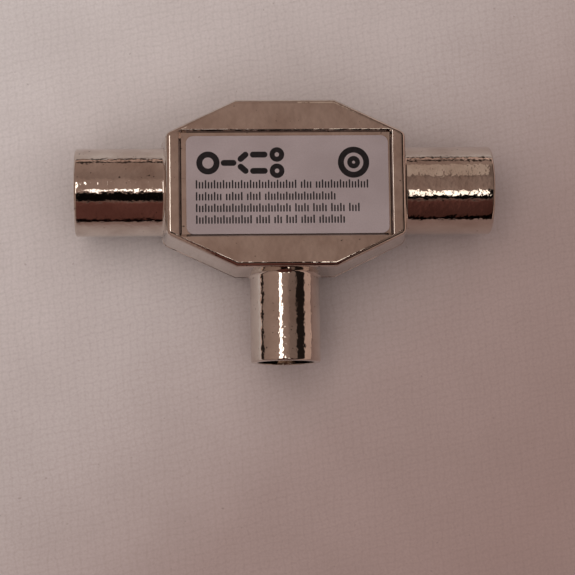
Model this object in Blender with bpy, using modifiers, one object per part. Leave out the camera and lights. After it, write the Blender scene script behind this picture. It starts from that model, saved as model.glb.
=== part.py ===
"""Two-way coaxial splitter for push-on aerial connectors.

A nickel-plated zinc die-casting with a flat eight-sided body, a socket barrel at each end and a slimmer
plug barrel on one long side. Metres, +Z up. It lies on its back: the label faces +Z, the plug points
along -Y and the sockets along -X and +X. The origin is on the back face, under the point where the
three barrel axes meet.
"""

import math

import bmesh
import bpy
from mathutils import Matrix, Vector

MM = 0.001

# Body. Lengths are those of the front face; the walls swell by their draft to the parting plane
BODY_LENGTH = 31.6 * MM
BODY_WIDTH = 22.0 * MM
BODY_THICKNESS = 16.0 * MM
END_EDGE_SHARE = 0.6045
SIDE_EDGE_SHARE = 0.4177
DRAFT = math.radians(5.5)
EDGE_RADIUS = 0.3 * MM
SIDE_WALL = 1.8 * MM
FRONT_WALL = 1.9 * MM
CAVITY_DRAFT = math.radians(1.0)
CAVITY_RADIUS = 0.8 * MM

# Label and its recess in the front face. A land is the flat left beside the recess, at its ends and corners
RECESS_END_LAND = 1.5 * MM
RECESS_CORNER_LAND = 0.15 * MM
RECESS_DEPTH = 0.45 * MM
RECESS_SLOPE = 0.3 * MM
LABEL_END_MARGIN = 0.5 * MM
LABEL_SIDE_MARGIN = 0.3 * MM
LABEL_CORNER = 1.2 * MM
LABEL_THICKNESS = 0.15 * MM
LABEL_SHIFT = 0.2 * MM

# Cover pressed into the back
COVER_THICKNESS = 1.0 * MM
COVER_RIM = 0.9 * MM
COVER_CHAMFER = 0.15 * MM

# Socket barrels, for a 9.5 mm plug
SOCKET_DIAMETER = 12.0 * MM
SOCKET_LENGTH = 11.8 * MM
SOCKET_BORE = 9.6 * MM
SOCKET_BORE_DEPTH = 10.4 * MM
SOCKET_FILLET = 0.45 * MM
SOCKET_LIP = 0.35 * MM
SOCKET_MOUTH_CHAMFER = 0.3 * MM
SOCKET_WALL_HOLE = 6.6 * MM

# Plug barrel
PLUG_DIAMETER = 9.5 * MM
PLUG_LENGTH = 11.7 * MM
PLUG_BORE = 7.7 * MM
PLUG_BORE_DEPTH = 9.4 * MM
PLUG_FILLET = 0.4 * MM
PLUG_LIP = 0.45 * MM
PLUG_MOUTH_CHAMFER = 0.1 * MM
PLUG_WALL_HOLE = 5.0 * MM

# Plastic insulators
INSULATOR_DISC = 1.8 * MM
INSULATOR_HUB_DIAMETER = 5.4 * MM
INSULATOR_HUB_LENGTH = 1.2 * MM
INSULATOR_PROUD = 0.5 * MM

# Slotted sleeve of each socket
SLEEVE_DIAMETER = 3.6 * MM
SLEEVE_BORE = 2.5 * MM
SLEEVE_FLOOR = 1.0 * MM
SLEEVE_RECESS = 1.0 * MM
SLEEVE_CHAMFER = 0.2 * MM
SLOT_WIDTH = 0.45 * MM
SLOT_LENGTH = 4.4 * MM

# Stems and tails behind the contacts
STEM_DIAMETER = 1.7 * MM
TAIL_LENGTH = 1.5 * MM
TAIL_CUP_DIAMETER = 1.0 * MM
TAIL_CUP_DEPTH = 0.7 * MM

# Centre pin of the plug
PIN_DIAMETER = 2.4 * MM
PIN_RECESS = 0.4 * MM

# Transformers: ferrite blocks with two holes, wound with enamelled wire
CORE_WIDTH = 6.2 * MM
CORE_HEIGHT = 3.6 * MM
CORE_HOLE = 1.8 * MM
CORE_HOLE_PITCH = 3.1 * MM
CORE_EDGE = 0.4 * MM
WIRE_DIAMETER = 0.4 * MM
WIRE_STANDOFF = 0.45 * MM
WIRE_BEND = 0.35 * MM
TURN_SPACING = 0.72 * MM
TAP_LOOP = 0.8 * MM
MATCHING_CORE_X = 5.4 * MM
EARTH_RUN_DROP = 1.6 * MM

# Resistor between the outputs
RESISTOR_LENGTH = 6.2 * MM
RESISTOR_DIAMETER = 2.3 * MM
RESISTOR_WAIST = 0.15 * MM
RESISTOR_STANDOFF = 0.5 * MM
RESISTOR_WALL_GAP = 1.25 * MM
LEAD_DIAMETER = 0.5 * MM
LEAD_STRAIGHT = 5.5 * MM

# Disc capacitor from the plug to earth
CAPACITOR_DIAMETER = 4.0 * MM
CAPACITOR_THICKNESS = 1.7 * MM
CAPACITOR_X = 3.3 * MM
CAPACITOR_PITCH = 2.0 * MM
CAPACITOR_LEG = 0.8 * MM

# Earth peg cast inside the front wall, and the solder joints
PEG_DIAMETER = 2.2 * MM
PEG_X = 6.9 * MM
PEG_END = 1.6 * MM
SOLDER_DIAMETER = 1.6 * MM
SOLDER_SQUASH = 0.9

# Air between pieces that touch or press together
GAP = 0.1 * MM

# Facets round a barrel, a small turned piece and a solder joint
BARREL_SIDES = 48
SMALL_SIDES = 28
SOLDER_SIDES = 12
ARC_STEPS = 3

# Places worked out from the sizes above
END_EDGE = BODY_WIDTH * END_EDGE_SHARE
SIDE_EDGE = BODY_LENGTH * SIDE_EDGE_SHARE
AXIS_HEIGHT = BODY_THICKNESS / 2
SWELL = AXIS_HEIGHT * math.tan(DRAFT)
SOCKET_WALL_AT = BODY_LENGTH / 2 + SWELL
SOCKET_REACH = SOCKET_WALL_AT + SOCKET_LENGTH
PLUG_WALL_AT = BODY_WIDTH / 2 + SWELL
PLUG_REACH = PLUG_WALL_AT + PLUG_LENGTH
CAVITY_TOP = BODY_THICKNESS - FRONT_WALL
COVER_LEDGE = COVER_THICKNESS + GAP
OVERSHOOT = 1.0 * MM

NICKEL = ("nickel_plate", (0.52, 0.48, 0.43), 0.22, 1.0)
LABEL_FILM = ("label_film", (0.36, 0.35, 0.36), 0.55, 0.1)
WHITE_PLASTIC = ("white_plastic", (0.80, 0.79, 0.75), 0.45, 0.0)
CONTACT_METAL = ("contact_brass", (0.66, 0.60, 0.48), 0.28, 1.0)
FERRITE = ("ferrite", (0.05, 0.05, 0.055), 0.55, 0.0)
ENAMEL = ("enamelled_copper", (0.48, 0.17, 0.07), 0.3, 0.6)
TINNED_WIRE = ("tinned_wire", (0.62, 0.62, 0.60), 0.35, 1.0)
SOLDER = ("solder", (0.58, 0.58, 0.57), 0.3, 1.0)
RESISTOR_BODY = ("resistor_coating", (0.62, 0.50, 0.33), 0.5, 0.0)
CAPACITOR_BODY = ("capacitor_coating", (0.55, 0.33, 0.14), 0.5, 0.0)


def clear_scene():
    """Empties the scene of its objects."""
    for item in list(bpy.data.objects):
        bpy.data.objects.remove(item, do_unlink=True)


def new_collection(name):
    """A collection linked to the scene."""
    collection = bpy.data.collections.new(name)
    bpy.context.scene.collection.children.link(collection)
    return collection


def material(spec):
    """The Principled material of a finish, made once."""
    name, colour, roughness, metallic = spec
    found = bpy.data.materials.get(name)
    if found:
        return found
    made = bpy.data.materials.new(name)
    made.use_nodes = True
    shader = made.node_tree.nodes["Principled BSDF"]
    shader.inputs["Base Color"].default_value = (*colour, 1.0)
    shader.inputs["Roughness"].default_value = roughness
    shader.inputs["Metallic"].default_value = metallic
    return made


def add_object(name, data, collection, finish=None):
    """Puts data into the scene as an object; one without a finish is a cutter or a guide."""
    made = bpy.data.objects.new(name, data)
    collection.objects.link(made)
    if finish:
        data.materials.append(material(finish))
    else:
        made.hide_render = True
        made.display_type = "WIRE"
    return made


def mesh_object(name, bm, collection, finish=None):
    """Turns a bmesh into an object, faces outwards and shaded smooth but for sharp edges."""
    bmesh.ops.recalc_face_normals(bm, faces=bm.faces)
    mesh = bpy.data.meshes.new(name)
    bm.to_mesh(mesh)
    bm.free()
    mesh.shade_smooth()
    mesh.set_sharp_from_angle(angle=math.radians(30))
    return add_object(name, mesh, collection, finish)


def loft(rings):
    """A closed bmesh through rings of equal length, with a flat face on the first and the last."""
    bm = bmesh.new()
    loops = [[bm.verts.new(point) for point in ring] for ring in rings]
    count = len(rings[0])
    for near, far in zip(loops, loops[1:]):
        for i in range(count):
            j = (i + 1) % count
            bm.faces.new((near[i], near[j], far[j], far[i]))
    bm.faces.new(loops[0])
    bm.faces.new(loops[-1])
    return bm


def octagon(grow):
    """The corners of the front face's outline, moved outwards by grow, counter-clockwise."""
    run = (BODY_LENGTH - SIDE_EDGE) / 2
    rise = (BODY_WIDTH - END_EDGE) / 2
    slant = math.hypot(run, rise)
    normal_x, normal_y = rise / slant, run / slant
    x = BODY_LENGTH / 2 + grow
    y = BODY_WIDTH / 2 + grow
    end = END_EDGE / 2 + grow * (1 - normal_x) / normal_y
    side = SIDE_EDGE / 2 + grow * (1 - normal_y) / normal_x
    right = [(side, -y), (x, -end), (x, end), (side, y)]
    left = [(-px, -py) for px, py in right]
    return right + left


def octagon_solid(name, levels, collection, finish=None):
    """A solid through octagons; levels lists each height with its outward offset."""
    rings = [[(x, y, height) for x, y in octagon(grow)] for height, grow in levels]
    return mesh_object(name, loft(rings), collection, finish)


def turned(name, profile, sides, collection, finish=None, closed=False):
    """A turned shape about Z, a flat towards X. The profile lists (radius, height); closed makes a ring."""
    mesh = bpy.data.meshes.new(name)
    start = math.radians(180) / sides
    points = [(radius * math.cos(start), radius * math.sin(start), height) for radius, height in profile]
    edges = [(i, i + 1) for i in range(len(points) - 1)]
    if closed:
        edges.append((len(points) - 1, 0))
    mesh.from_pydata(points, edges, [])
    made = add_object(name, mesh, collection, finish)
    screw = made.modifiers.new("turn", "SCREW")
    screw.axis = "Z"
    screw.steps = sides
    screw.render_steps = sides
    screw.use_merge_vertices = True
    screw.merge_threshold = 0.000001
    return made


def quarter_arc(radius_from, radius_to, height_from, height_to, bulge_out=True, steps=ARC_STEPS):
    """Points of a quarter ellipse between two (radius, height) ends, without its first point."""
    points = []
    for i in range(1, steps + 1):
        turn = math.radians(90) * i / steps
        if bulge_out:
            across, along = math.sin(turn), 1 - math.cos(turn)
        else:
            across, along = 1 - math.cos(turn), math.sin(turn)
        radius = radius_from + (radius_to - radius_from) * across
        height = height_from + (height_to - height_from) * along
        points.append((radius, height))
    return points


def rounded(points, radius, steps=3):
    """The route through points with each inner corner eased into a short curve."""
    route = [Vector(points[0])]
    for before, corner, after in zip(points, points[1:], points[2:]):
        before, corner, after = Vector(before), Vector(corner), Vector(after)
        reach = min(radius, (corner - before).length * 0.45, (after - corner).length * 0.45)
        start = corner + (before - corner).normalized() * reach
        end = corner + (after - corner).normalized() * reach
        for i in range(steps + 1):
            t = i / steps
            route.append(start * (1 - t) ** 2 + corner * 2 * t * (1 - t) + end * t**2)
    route.append(Vector(points[-1]))
    return route


def tube(name, points, diameter, bend, collection, finish):
    """A round wire along a route with eased corners and flat ends."""
    curve = bpy.data.curves.new(name, "CURVE")
    curve.dimensions = "3D"
    curve.bevel_depth = diameter / 2
    curve.bevel_resolution = 2
    curve.use_fill_caps = True
    route = rounded(points, bend)
    spline = curve.splines.new("POLY")
    spline.points.add(len(route) - 1)
    for place, point in zip(spline.points, route):
        place.co = (*point, 1)
    return add_object(name, curve, collection, finish)


def boolean(target, cutter, operation):
    """Cuts target with cutter, or joins them."""
    step = target.modifiers.new(cutter.name, "BOOLEAN")
    step.operation = operation
    step.object = cutter
    step.solver = "EXACT"


def bevel(target, width, segments, angle=20):
    """Rounds the target's edges that are sharper than an angle in degrees."""
    step = target.modifiers.new("rounding", "BEVEL")
    step.width = width
    step.segments = segments
    step.limit_method = "ANGLE"
    step.angle_limit = math.radians(angle)


class Axis:
    """A barrel's axis: where it points, and how a piece turned about Z is laid along it."""

    def __init__(self, name, direction, rotation):
        self.name = name
        self.direction = Vector(direction)
        self.rotation = rotation

    def lay(self, made):
        """Lays a piece turned about Z along the axis, its zero height at the axes' crossing."""
        made.rotation_euler = self.rotation
        made.location = (0, 0, AXIS_HEIGHT)
        return made

    def at(self, reach, up=0.0):
        """The point at a distance along the axis."""
        return self.direction * reach + Vector((0, 0, AXIS_HEIGHT + up))


LEFT = Axis("left_socket", (-1, 0, 0), (0, math.radians(-90), 0))
RIGHT = Axis("right_socket", (1, 0, 0), (0, math.radians(90), 0))
PLUG = Axis("plug", (0, -1, 0), (math.radians(90), 0, 0))


def barrel_ring(axis, radius, reach_at):
    """A ring of points about an axis; reach_at gives the reach of a point from its height over the axis."""
    side = axis.direction.cross(Vector((0, 0, 1)))
    ring = []
    for i in range(BARREL_SIDES):
        turn = math.radians(360) * i / BARREL_SIDES
        rise = radius * math.cos(turn)
        across = side * (radius * math.sin(turn))
        ring.append(axis.at(reach_at(rise), rise) + across)
    return ring


def barrel(axis, diameter, wall_at, reach, fillet, lip, guides):
    """The outside of a barrel, with a rounded lip and a fillet that follows the body's sloping wall."""
    radius = diameter / 2
    sink = 0.02 * MM

    def wall(rise):
        return wall_at - abs(rise) * math.tan(DRAFT) - sink

    def wall_plus(offset):
        return lambda rise: wall(rise) + offset

    rings = [barrel_ring(axis, radius + fillet, wall_plus(-OVERSHOOT))]
    for i in range(ARC_STEPS + 1):
        turn = math.radians(90) * i / ARC_STEPS
        swell = fillet * (1 - math.sin(turn))
        rings.append(barrel_ring(axis, radius + swell, wall_plus(fillet * (1 - math.cos(turn)))))
    for i in range(ARC_STEPS + 1):
        turn = math.radians(90) * i / ARC_STEPS
        drop = lip * (1 - math.cos(turn))
        height = reach - lip * (1 - math.sin(turn))
        rings.append(barrel_ring(axis, radius - drop, lambda rise, height=height: height))
    return mesh_object(axis.name + "_barrel", loft(rings), guides)


def bore_cutter(axis, bore, depth, reach, chamfer, wall_hole, cavity_at, guides):
    """The stepped hole through a barrel: its mouth's chamfer, the bore and the hole into the cavity."""
    radius = bore / 2
    profile = [
        (0, reach + OVERSHOOT),
        (radius + chamfer + OVERSHOOT, reach + OVERSHOOT),
        (radius, reach - chamfer),
        (radius, reach - depth),
        (wall_hole / 2, reach - depth),
        (wall_hole / 2, cavity_at - OVERSHOOT),
        (0, cavity_at - OVERSHOOT),
    ]
    return axis.lay(turned(axis.name + "_bore", profile, BARREL_SIDES, guides))


def build_housing(parts, guides):
    """The casting: body, barrels, label recess, cavity, cover ledge, stepped bores and earth peg."""
    levels = [(0, 0), (AXIS_HEIGHT, SWELL), (BODY_THICKNESS, 0)]
    housing = octagon_solid("housing", levels, parts, NICKEL)
    bevel(housing, EDGE_RADIUS, 2)
    for axis in (LEFT, RIGHT):
        skin = barrel(
            axis, SOCKET_DIAMETER, SOCKET_WALL_AT, SOCKET_REACH, SOCKET_FILLET, SOCKET_LIP, guides
        )
        boolean(housing, skin, "UNION")
    skin = barrel(PLUG, PLUG_DIAMETER, PLUG_WALL_AT, PLUG_REACH, PLUG_FILLET, PLUG_LIP, guides)
    boolean(housing, skin, "UNION")
    boolean(housing, cavity_cutter(guides), "DIFFERENCE")
    boolean(housing, ledge_cutter(guides), "DIFFERENCE")
    boolean(housing, recess_cutter(guides), "DIFFERENCE")
    for axis in (LEFT, RIGHT):
        cutter = bore_cutter(
            axis,
            SOCKET_BORE,
            SOCKET_BORE_DEPTH,
            SOCKET_REACH,
            SOCKET_MOUTH_CHAMFER,
            SOCKET_WALL_HOLE,
            socket_cavity_at(),
            guides,
        )
        boolean(housing, cutter, "DIFFERENCE")
    cutter = bore_cutter(
        PLUG,
        PLUG_BORE,
        PLUG_BORE_DEPTH,
        PLUG_REACH,
        PLUG_MOUTH_CHAMFER,
        PLUG_WALL_HOLE,
        plug_cavity_at(),
        guides,
    )
    boolean(housing, cutter, "DIFFERENCE")
    boolean(housing, earth_peg(guides), "UNION")


def cavity_inset(height):
    """How far the cavity's wall stands inside the front face's outline at a height."""
    return SIDE_WALL + height * math.tan(CAVITY_DRAFT)


def socket_cavity_at():
    """Reach of the cavity's end wall at the height of the axes."""
    return BODY_LENGTH / 2 - cavity_inset(AXIS_HEIGHT)


def plug_cavity_at():
    """Reach of the cavity's side wall at the height of the axes."""
    return BODY_WIDTH / 2 - cavity_inset(AXIS_HEIGHT)


def cavity_cutter(guides):
    """The hollow that opens at the back, tapered as its core has to draw."""
    levels = [
        (-OVERSHOOT, -cavity_inset(-OVERSHOOT)),
        (CAVITY_TOP, -cavity_inset(CAVITY_TOP)),
    ]
    cutter = octagon_solid("cavity", levels, guides)
    bevel(cutter, CAVITY_RADIUS, 2)
    return cutter


def ledge_cutter(guides):
    """The shallow step round the cavity that the cover is pressed into."""
    levels = [(-OVERSHOOT, -COVER_RIM), (COVER_LEDGE, -COVER_RIM)]
    return octagon_solid("cover_seat", levels, guides)


def recess_half_size():
    """Half the recess's length and width. Its corners stand just inside the face's slanting edges."""
    x = BODY_LENGTH / 2 - RECESS_END_LAND
    (x_low, y_low), (x_high, y_high) = octagon(-RECESS_CORNER_LAND)[2:4]
    y = y_low + (y_high - y_low) * (x_low - x) / (x_low - x_high)
    return x, y


def recess_cutter(guides):
    """The label's recess, its walls sloping in to the floor."""
    half_length, half_width = recess_half_size()

    def rectangle(grow, height):
        x = half_length + grow
        y = half_width + grow
        return [(-x, -y, height), (x, -y, height), (x, y, height), (-x, y, height)]

    floor = BODY_THICKNESS - RECESS_DEPTH
    spread = RECESS_SLOPE * OVERSHOOT / RECESS_DEPTH
    rings = [rectangle(-RECESS_SLOPE, floor), rectangle(spread, BODY_THICKNESS + OVERSHOOT)]
    return mesh_object("label_recess", loft(rings), guides)


def peg_place():
    """Where the earth peg stands."""
    return Vector((-PEG_X, plug_joint().y + LEAD_DIAMETER, 0))


def earth_peg(guides):
    """A tapered peg on the cavity's roof, for the earth wires."""
    foot = CAVITY_TOP + FRONT_WALL / 3
    end = AXIS_HEIGHT + PEG_END
    radius = PEG_DIAMETER / 2
    taper = (foot - end) * math.tan(CAVITY_DRAFT)
    profile = [(0, foot), (radius + taper, foot), (radius, end), (0, end)]
    peg = turned("earth_peg", profile, SMALL_SIDES, guides)
    peg.location = peg_place()
    return peg


def build_label(parts):
    """The film label on the recess's floor."""
    curve = bpy.data.curves.new("front_label", "CURVE")
    curve.dimensions = "2D"
    curve.fill_mode = "BOTH"
    curve.extrude = LABEL_THICKNESS / 2
    spline = curve.splines.new("POLY")
    half_length, half_width = recess_half_size()
    x = half_length - RECESS_SLOPE - LABEL_END_MARGIN - LABEL_CORNER
    y = half_width - RECESS_SLOPE - LABEL_SIDE_MARGIN - LABEL_CORNER
    outline = []
    for corner, (cx, cy) in enumerate(((x, y), (-x, y), (-x, -y), (x, -y))):
        for i in range(5):
            turn = math.radians(90) * (corner + i / 4)
            outline.append((cx + LABEL_CORNER * math.cos(turn), cy + LABEL_CORNER * math.sin(turn)))
    spline.points.add(len(outline) - 1)
    for place, (px, py) in zip(spline.points, outline):
        place.co = (px, py, 0, 1)
    spline.use_cyclic_u = True
    label = add_object("front_label", curve, parts, LABEL_FILM)
    floor = BODY_THICKNESS - RECESS_DEPTH
    label.location = (LABEL_SHIFT, 0, floor + GAP + LABEL_THICKNESS / 2)


def build_cover(parts):
    """The plate that closes the back, chamfered where it enters its seat."""
    outline = -(COVER_RIM + GAP)
    levels = [
        (0, outline),
        (COVER_THICKNESS - COVER_CHAMFER, outline),
        (COVER_THICKNESS, outline - COVER_CHAMFER),
    ]
    octagon_solid("rear_cover", levels, parts, NICKEL)


def insulator_profile(bore, wall_hole, disc_back, disc, hub_diameter, hub, spigot_end, hole):
    """The closed outline of an insulator, from the outer edge of its hub's face, round its centre hole."""
    disc_radius = bore / 2 - GAP
    hub_radius = hub_diameter / 2
    spigot_radius = wall_hole / 2 - GAP
    inner = hole / 2 + GAP
    front = disc_back + disc
    return [
        (hub_radius, front + hub),
        (hub_radius, front),
        (disc_radius, front),
        (disc_radius, disc_back),
        (spigot_radius, disc_back),
        (spigot_radius, spigot_end),
        (inner, spigot_end),
        (inner, front + hub),
    ]


def socket_disc_back():
    """Reach of the socket insulator's back, against the shoulder of the bore."""
    return SOCKET_REACH - SOCKET_BORE_DEPTH + GAP


def plug_disc_back():
    """Reach of the plug insulator's back, against the shoulder of the bore."""
    return PLUG_REACH - PLUG_BORE_DEPTH + GAP


def tail_end(cavity_at):
    """Reach of the end of a contact's tail inside the cavity."""
    return cavity_at - INSULATOR_PROUD - TAIL_LENGTH


def build_socket(axis, parts, guides):
    """The insulator and the slotted sleeve of one socket."""
    cavity_at = socket_cavity_at()
    back = socket_disc_back()
    profile = insulator_profile(
        SOCKET_BORE,
        SOCKET_WALL_HOLE,
        back,
        INSULATOR_DISC,
        INSULATOR_HUB_DIAMETER,
        INSULATOR_HUB_LENGTH,
        cavity_at - INSULATOR_PROUD,
        STEM_DIAMETER,
    )
    axis.lay(turned(axis.name + "_insulator", profile, SMALL_SIDES, parts, WHITE_PLASTIC, closed=True))

    front = SOCKET_REACH - SLEEVE_RECESS
    foot = back + INSULATOR_DISC + INSULATOR_HUB_LENGTH + GAP
    outer, inner, stem = SLEEVE_DIAMETER / 2, SLEEVE_BORE / 2, STEM_DIAMETER / 2
    end = tail_end(cavity_at)
    cup = TAIL_CUP_DIAMETER / 2
    floor = foot + SLEEVE_FLOOR
    profile = [
        (0, floor),
        (inner, floor),
        (inner, front - SLEEVE_CHAMFER),
        (inner + SLEEVE_CHAMFER, front),
        (outer - SLEEVE_CHAMFER, front),
        (outer, front - SLEEVE_CHAMFER),
        (outer, foot),
        (stem, foot),
        (stem, end),
        (cup, end),
        (cup, end + TAIL_CUP_DEPTH),
        (0, end + TAIL_CUP_DEPTH),
    ]
    sleeve = turned(axis.name + "_contact", profile, SMALL_SIDES, parts, CONTACT_METAL)
    axis.lay(sleeve)
    boolean(sleeve, slot_cutter(axis, front, guides), "DIFFERENCE")


def slot_cutter(axis, front, guides):
    """A cross-shaped bar that saws two pairs of slots across the sleeve's mouth."""
    half = SLOT_WIDTH / 2
    wide = SLEEVE_DIAMETER * 0.6
    quarter = [(wide, -half), (wide, half), (half, half)]
    outline = []
    for i in range(4):
        turn = Matrix.Rotation(math.radians(90) * i, 3, "Z")
        outline += [turn @ Vector((x, y, 0)) for x, y in quarter]
    heights = (front - SLOT_LENGTH, front + OVERSHOOT)
    rings = [[(p.x, p.y, height) for p in outline] for height in heights]
    return axis.lay(mesh_object(axis.name + "_slots", loft(rings), guides))


def build_plug(parts):
    """The insulator and the centre pin of the plug."""
    cavity_at = plug_cavity_at()
    back = plug_disc_back()
    spigot_end = cavity_at - INSULATOR_PROUD
    profile = insulator_profile(
        PLUG_BORE,
        PLUG_WALL_HOLE,
        back,
        INSULATOR_DISC,
        INSULATOR_HUB_DIAMETER * 0.8,
        INSULATOR_HUB_LENGTH / 2,
        spigot_end,
        STEM_DIAMETER,
    )
    PLUG.lay(turned("plug_insulator", profile, SMALL_SIDES, parts, WHITE_PLASTIC, closed=True))

    foot = back + INSULATOR_DISC + INSULATOR_HUB_LENGTH / 2 + GAP
    tip = PLUG_REACH - PIN_RECESS
    radius, stem = PIN_DIAMETER / 2, STEM_DIAMETER / 2
    end = tail_end(cavity_at)
    cup = TAIL_CUP_DIAMETER / 2
    nose = quarter_arc(radius * 0.25, radius, tip, tip - radius, steps=4)
    profile = [(0, tip), (radius * 0.25, tip), *nose, (radius, foot), (stem, foot), (stem, end)]
    profile += [(cup, end), (cup, end + TAIL_CUP_DEPTH), (0, end + TAIL_CUP_DEPTH)]
    PLUG.lay(turned("plug_pin", profile, SMALL_SIDES, parts, CONTACT_METAL))


def solder_radius():
    """Radius of a solder joint across its round section."""
    return SOLDER_DIAMETER / 2


def socket_joint(axis):
    """Centre of the solder joint on a socket's tail."""
    return axis.at(tail_end(socket_cavity_at()) - GAP - solder_radius())


def plug_joint():
    """Centre of the solder joint on the plug pin's tail."""
    return PLUG.at(tail_end(plug_cavity_at()) - GAP - solder_radius())


def earth_joint():
    """Centre of the solder joint under the earth peg."""
    return peg_place() + Vector((0, 0, AXIS_HEIGHT + PEG_END - GAP - solder_radius()))


def resistor_place():
    """Centre of the resistor, along the cavity's far side wall."""
    return Vector((0, plug_cavity_at() - RESISTOR_WALL_GAP - RESISTOR_DIAMETER / 2, AXIS_HEIGHT))


def core_length():
    """Length of each core, so that both fill the room from the plug's joint to the resistor."""
    room = resistor_place().y - RESISTOR_DIAMETER / 2 - RESISTOR_STANDOFF - plug_joint().y
    matching = 2 * WIRE_STANDOFF + TAP_LOOP / 2
    hybrid = solder_radius() + GAP + WIRE_DIAMETER + 3 * WIRE_STANDOFF
    return (room - matching - hybrid) / 2


def matching_core_place():
    """Centre of the matching transformer's core, in line with the lead from the plug's joint."""
    return Vector((MATCHING_CORE_X, plug_joint().y + WIRE_STANDOFF + core_length() / 2, AXIS_HEIGHT))


def tap_far_y():
    """How far up the matching winding's tap loop reaches."""
    return matching_core_place().y + core_length() / 2 + WIRE_STANDOFF + TAP_LOOP


def centre_joint():
    """Centre of the solder joint that links the two transformers, in the bend of the tap loop."""
    return Vector((0, tap_far_y() - TAP_LOOP / 2, AXIS_HEIGHT))


def hybrid_core_place():
    """Centre of the hybrid transformer's core, its wire just clear of the centre joint."""
    crossing = centre_joint().y + solder_radius() + GAP + WIRE_DIAMETER / 2
    return Vector((0, crossing + 2 * WIRE_STANDOFF + core_length() / 2, AXIS_HEIGHT))


def capacitor_place():
    """Centre of the capacitor, between the plug's joint and the centre joint."""
    middle = (plug_joint().y + centre_joint().y) / 2
    return Vector((-CAPACITOR_X, middle + CAPACITOR_THICKNESS / 3, AXIS_HEIGHT))


def build_core(name, place, parts, guides):
    """A ferrite block with two holes along Y."""
    bm = bmesh.new()
    bmesh.ops.create_cube(bm, size=1.0)
    bmesh.ops.scale(bm, vec=(CORE_WIDTH, core_length(), CORE_HEIGHT), verts=bm.verts)
    core = mesh_object(name, bm, parts, FERRITE)
    core.location = place
    bevel(core, CORE_EDGE, 1)
    for side in (-1, 1):
        bm = bmesh.new()
        radius = CORE_HOLE / 2
        depth = core_length() + 2 * OVERSHOOT
        bmesh.ops.create_cone(bm, cap_ends=True, segments=16, radius1=radius, radius2=radius, depth=depth)
        hole = mesh_object(f"{name}_hole_{side}", bm, guides)
        hole.rotation_euler = (math.radians(90), 0, 0)
        hole.location = place + Vector((side * CORE_HOLE_PITCH / 2, 0, 0))
        boolean(core, hole, "DIFFERENCE")


def build_hybrid_winding(parts):
    """Two turns through the hybrid core, from one output to the other; the crossing is its centre tap."""
    place = hybrid_core_place()
    near = place.y - core_length() / 2 - WIRE_STANDOFF
    crossing = near - WIRE_STANDOFF
    far = place.y + core_length() / 2 + WIRE_STANDOFF
    left = place.x - CORE_HOLE_PITCH / 2
    right = place.x + CORE_HOLE_PITCH / 2
    low = place.z - TURN_SPACING / 2
    high = place.z + TURN_SPACING / 2
    clear = solder_radius() + GAP
    start = socket_joint(LEFT) + Vector((clear, 0, 0))
    end = socket_joint(RIGHT) - Vector((clear, 0, 0))
    points = [
        start,
        (start.x + clear, near, low),
        (left, near, low),
        (left, far, low),
        (right, far, low),
        (right, crossing, low),
        (left, crossing, high),
        (left, far, high),
        (right, far, high),
        (right, near, high),
        (end.x - clear, near, high),
        end,
    ]
    tube("hybrid_winding", points, WIRE_DIAMETER, WIRE_BEND, parts, ENAMEL)


def build_matching_winding(parts):
    """Two turns through the matching core, from the plug's joint to earth, with a loop out to the tap."""
    place = matching_core_place()
    plug, earth, centre = plug_joint(), earth_joint(), centre_joint()
    near = place.y - core_length() / 2 - WIRE_STANDOFF
    crossing = near - WIRE_STANDOFF
    far = place.y + core_length() / 2 + WIRE_STANDOFF
    left = place.x - CORE_HOLE_PITCH / 2
    right = place.x + CORE_HOLE_PITCH / 2
    low = place.z - TURN_SPACING / 2
    high = place.z + TURN_SPACING / 2
    clear = solder_radius() + GAP
    tap = centre.x + clear + WIRE_DIAMETER / 2
    run = place.z - EARTH_RUN_DROP
    wall_side = crossing - WIRE_STANDOFF
    points = [
        (plug.x + clear, plug.y, place.z),
        (left, near, low),
        (left, far, low),
        (right, far, low),
        (right, crossing, low),
        (left, crossing, high),
        (left, far, high),
        (tap, far, high),
        (tap, far + TAP_LOOP, high),
        (right, far + TAP_LOOP, high),
        (right, wall_side, high),
        (right, wall_side, run),
        (earth.x, wall_side, run),
        (earth.x, wall_side, earth.z),
        (earth.x, earth.y - clear, earth.z),
    ]
    tube("matching_winding", points, WIRE_DIAMETER, WIRE_BEND, parts, ENAMEL)


def build_resistor(parts):
    """The balancing resistor, thicker at its caps, and its two leads out to the sockets' joints."""
    place = resistor_place()
    half = RESISTOR_LENGTH / 2
    radius = RESISTOR_DIAMETER / 2
    waist = radius - RESISTOR_WAIST
    shoulder = half * 0.55
    top = [(0, half), (radius * 0.5, half), *quarter_arc(radius * 0.5, radius, half, half - radius * 0.5)]
    upper = top + [(radius, shoulder), (waist, shoulder - RESISTOR_WAIST * 2)]
    lower = [(r, -h) for r, h in reversed(upper)]
    body = turned("balancing_resistor", upper + lower, SMALL_SIDES, parts, RESISTOR_BODY)
    body.rotation_euler = (0, math.radians(90), 0)
    body.location = place
    for name, axis in (("left_resistor_lead", LEFT), ("right_resistor_lead", RIGHT)):
        out = axis.direction.x
        joint = socket_joint(axis)
        points = [
            place + Vector((out * (half + GAP), 0, 0)),
            place + Vector((out * (half + LEAD_STRAIGHT), 0, 0)),
            joint + Vector((0, solder_radius() + 3 * LEAD_DIAMETER, 0)),
            joint + Vector((0, solder_radius() + GAP, 0)),
        ]
        tube(name, points, LEAD_DIAMETER, 2 * LEAD_DIAMETER, parts, TINNED_WIRE)


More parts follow.
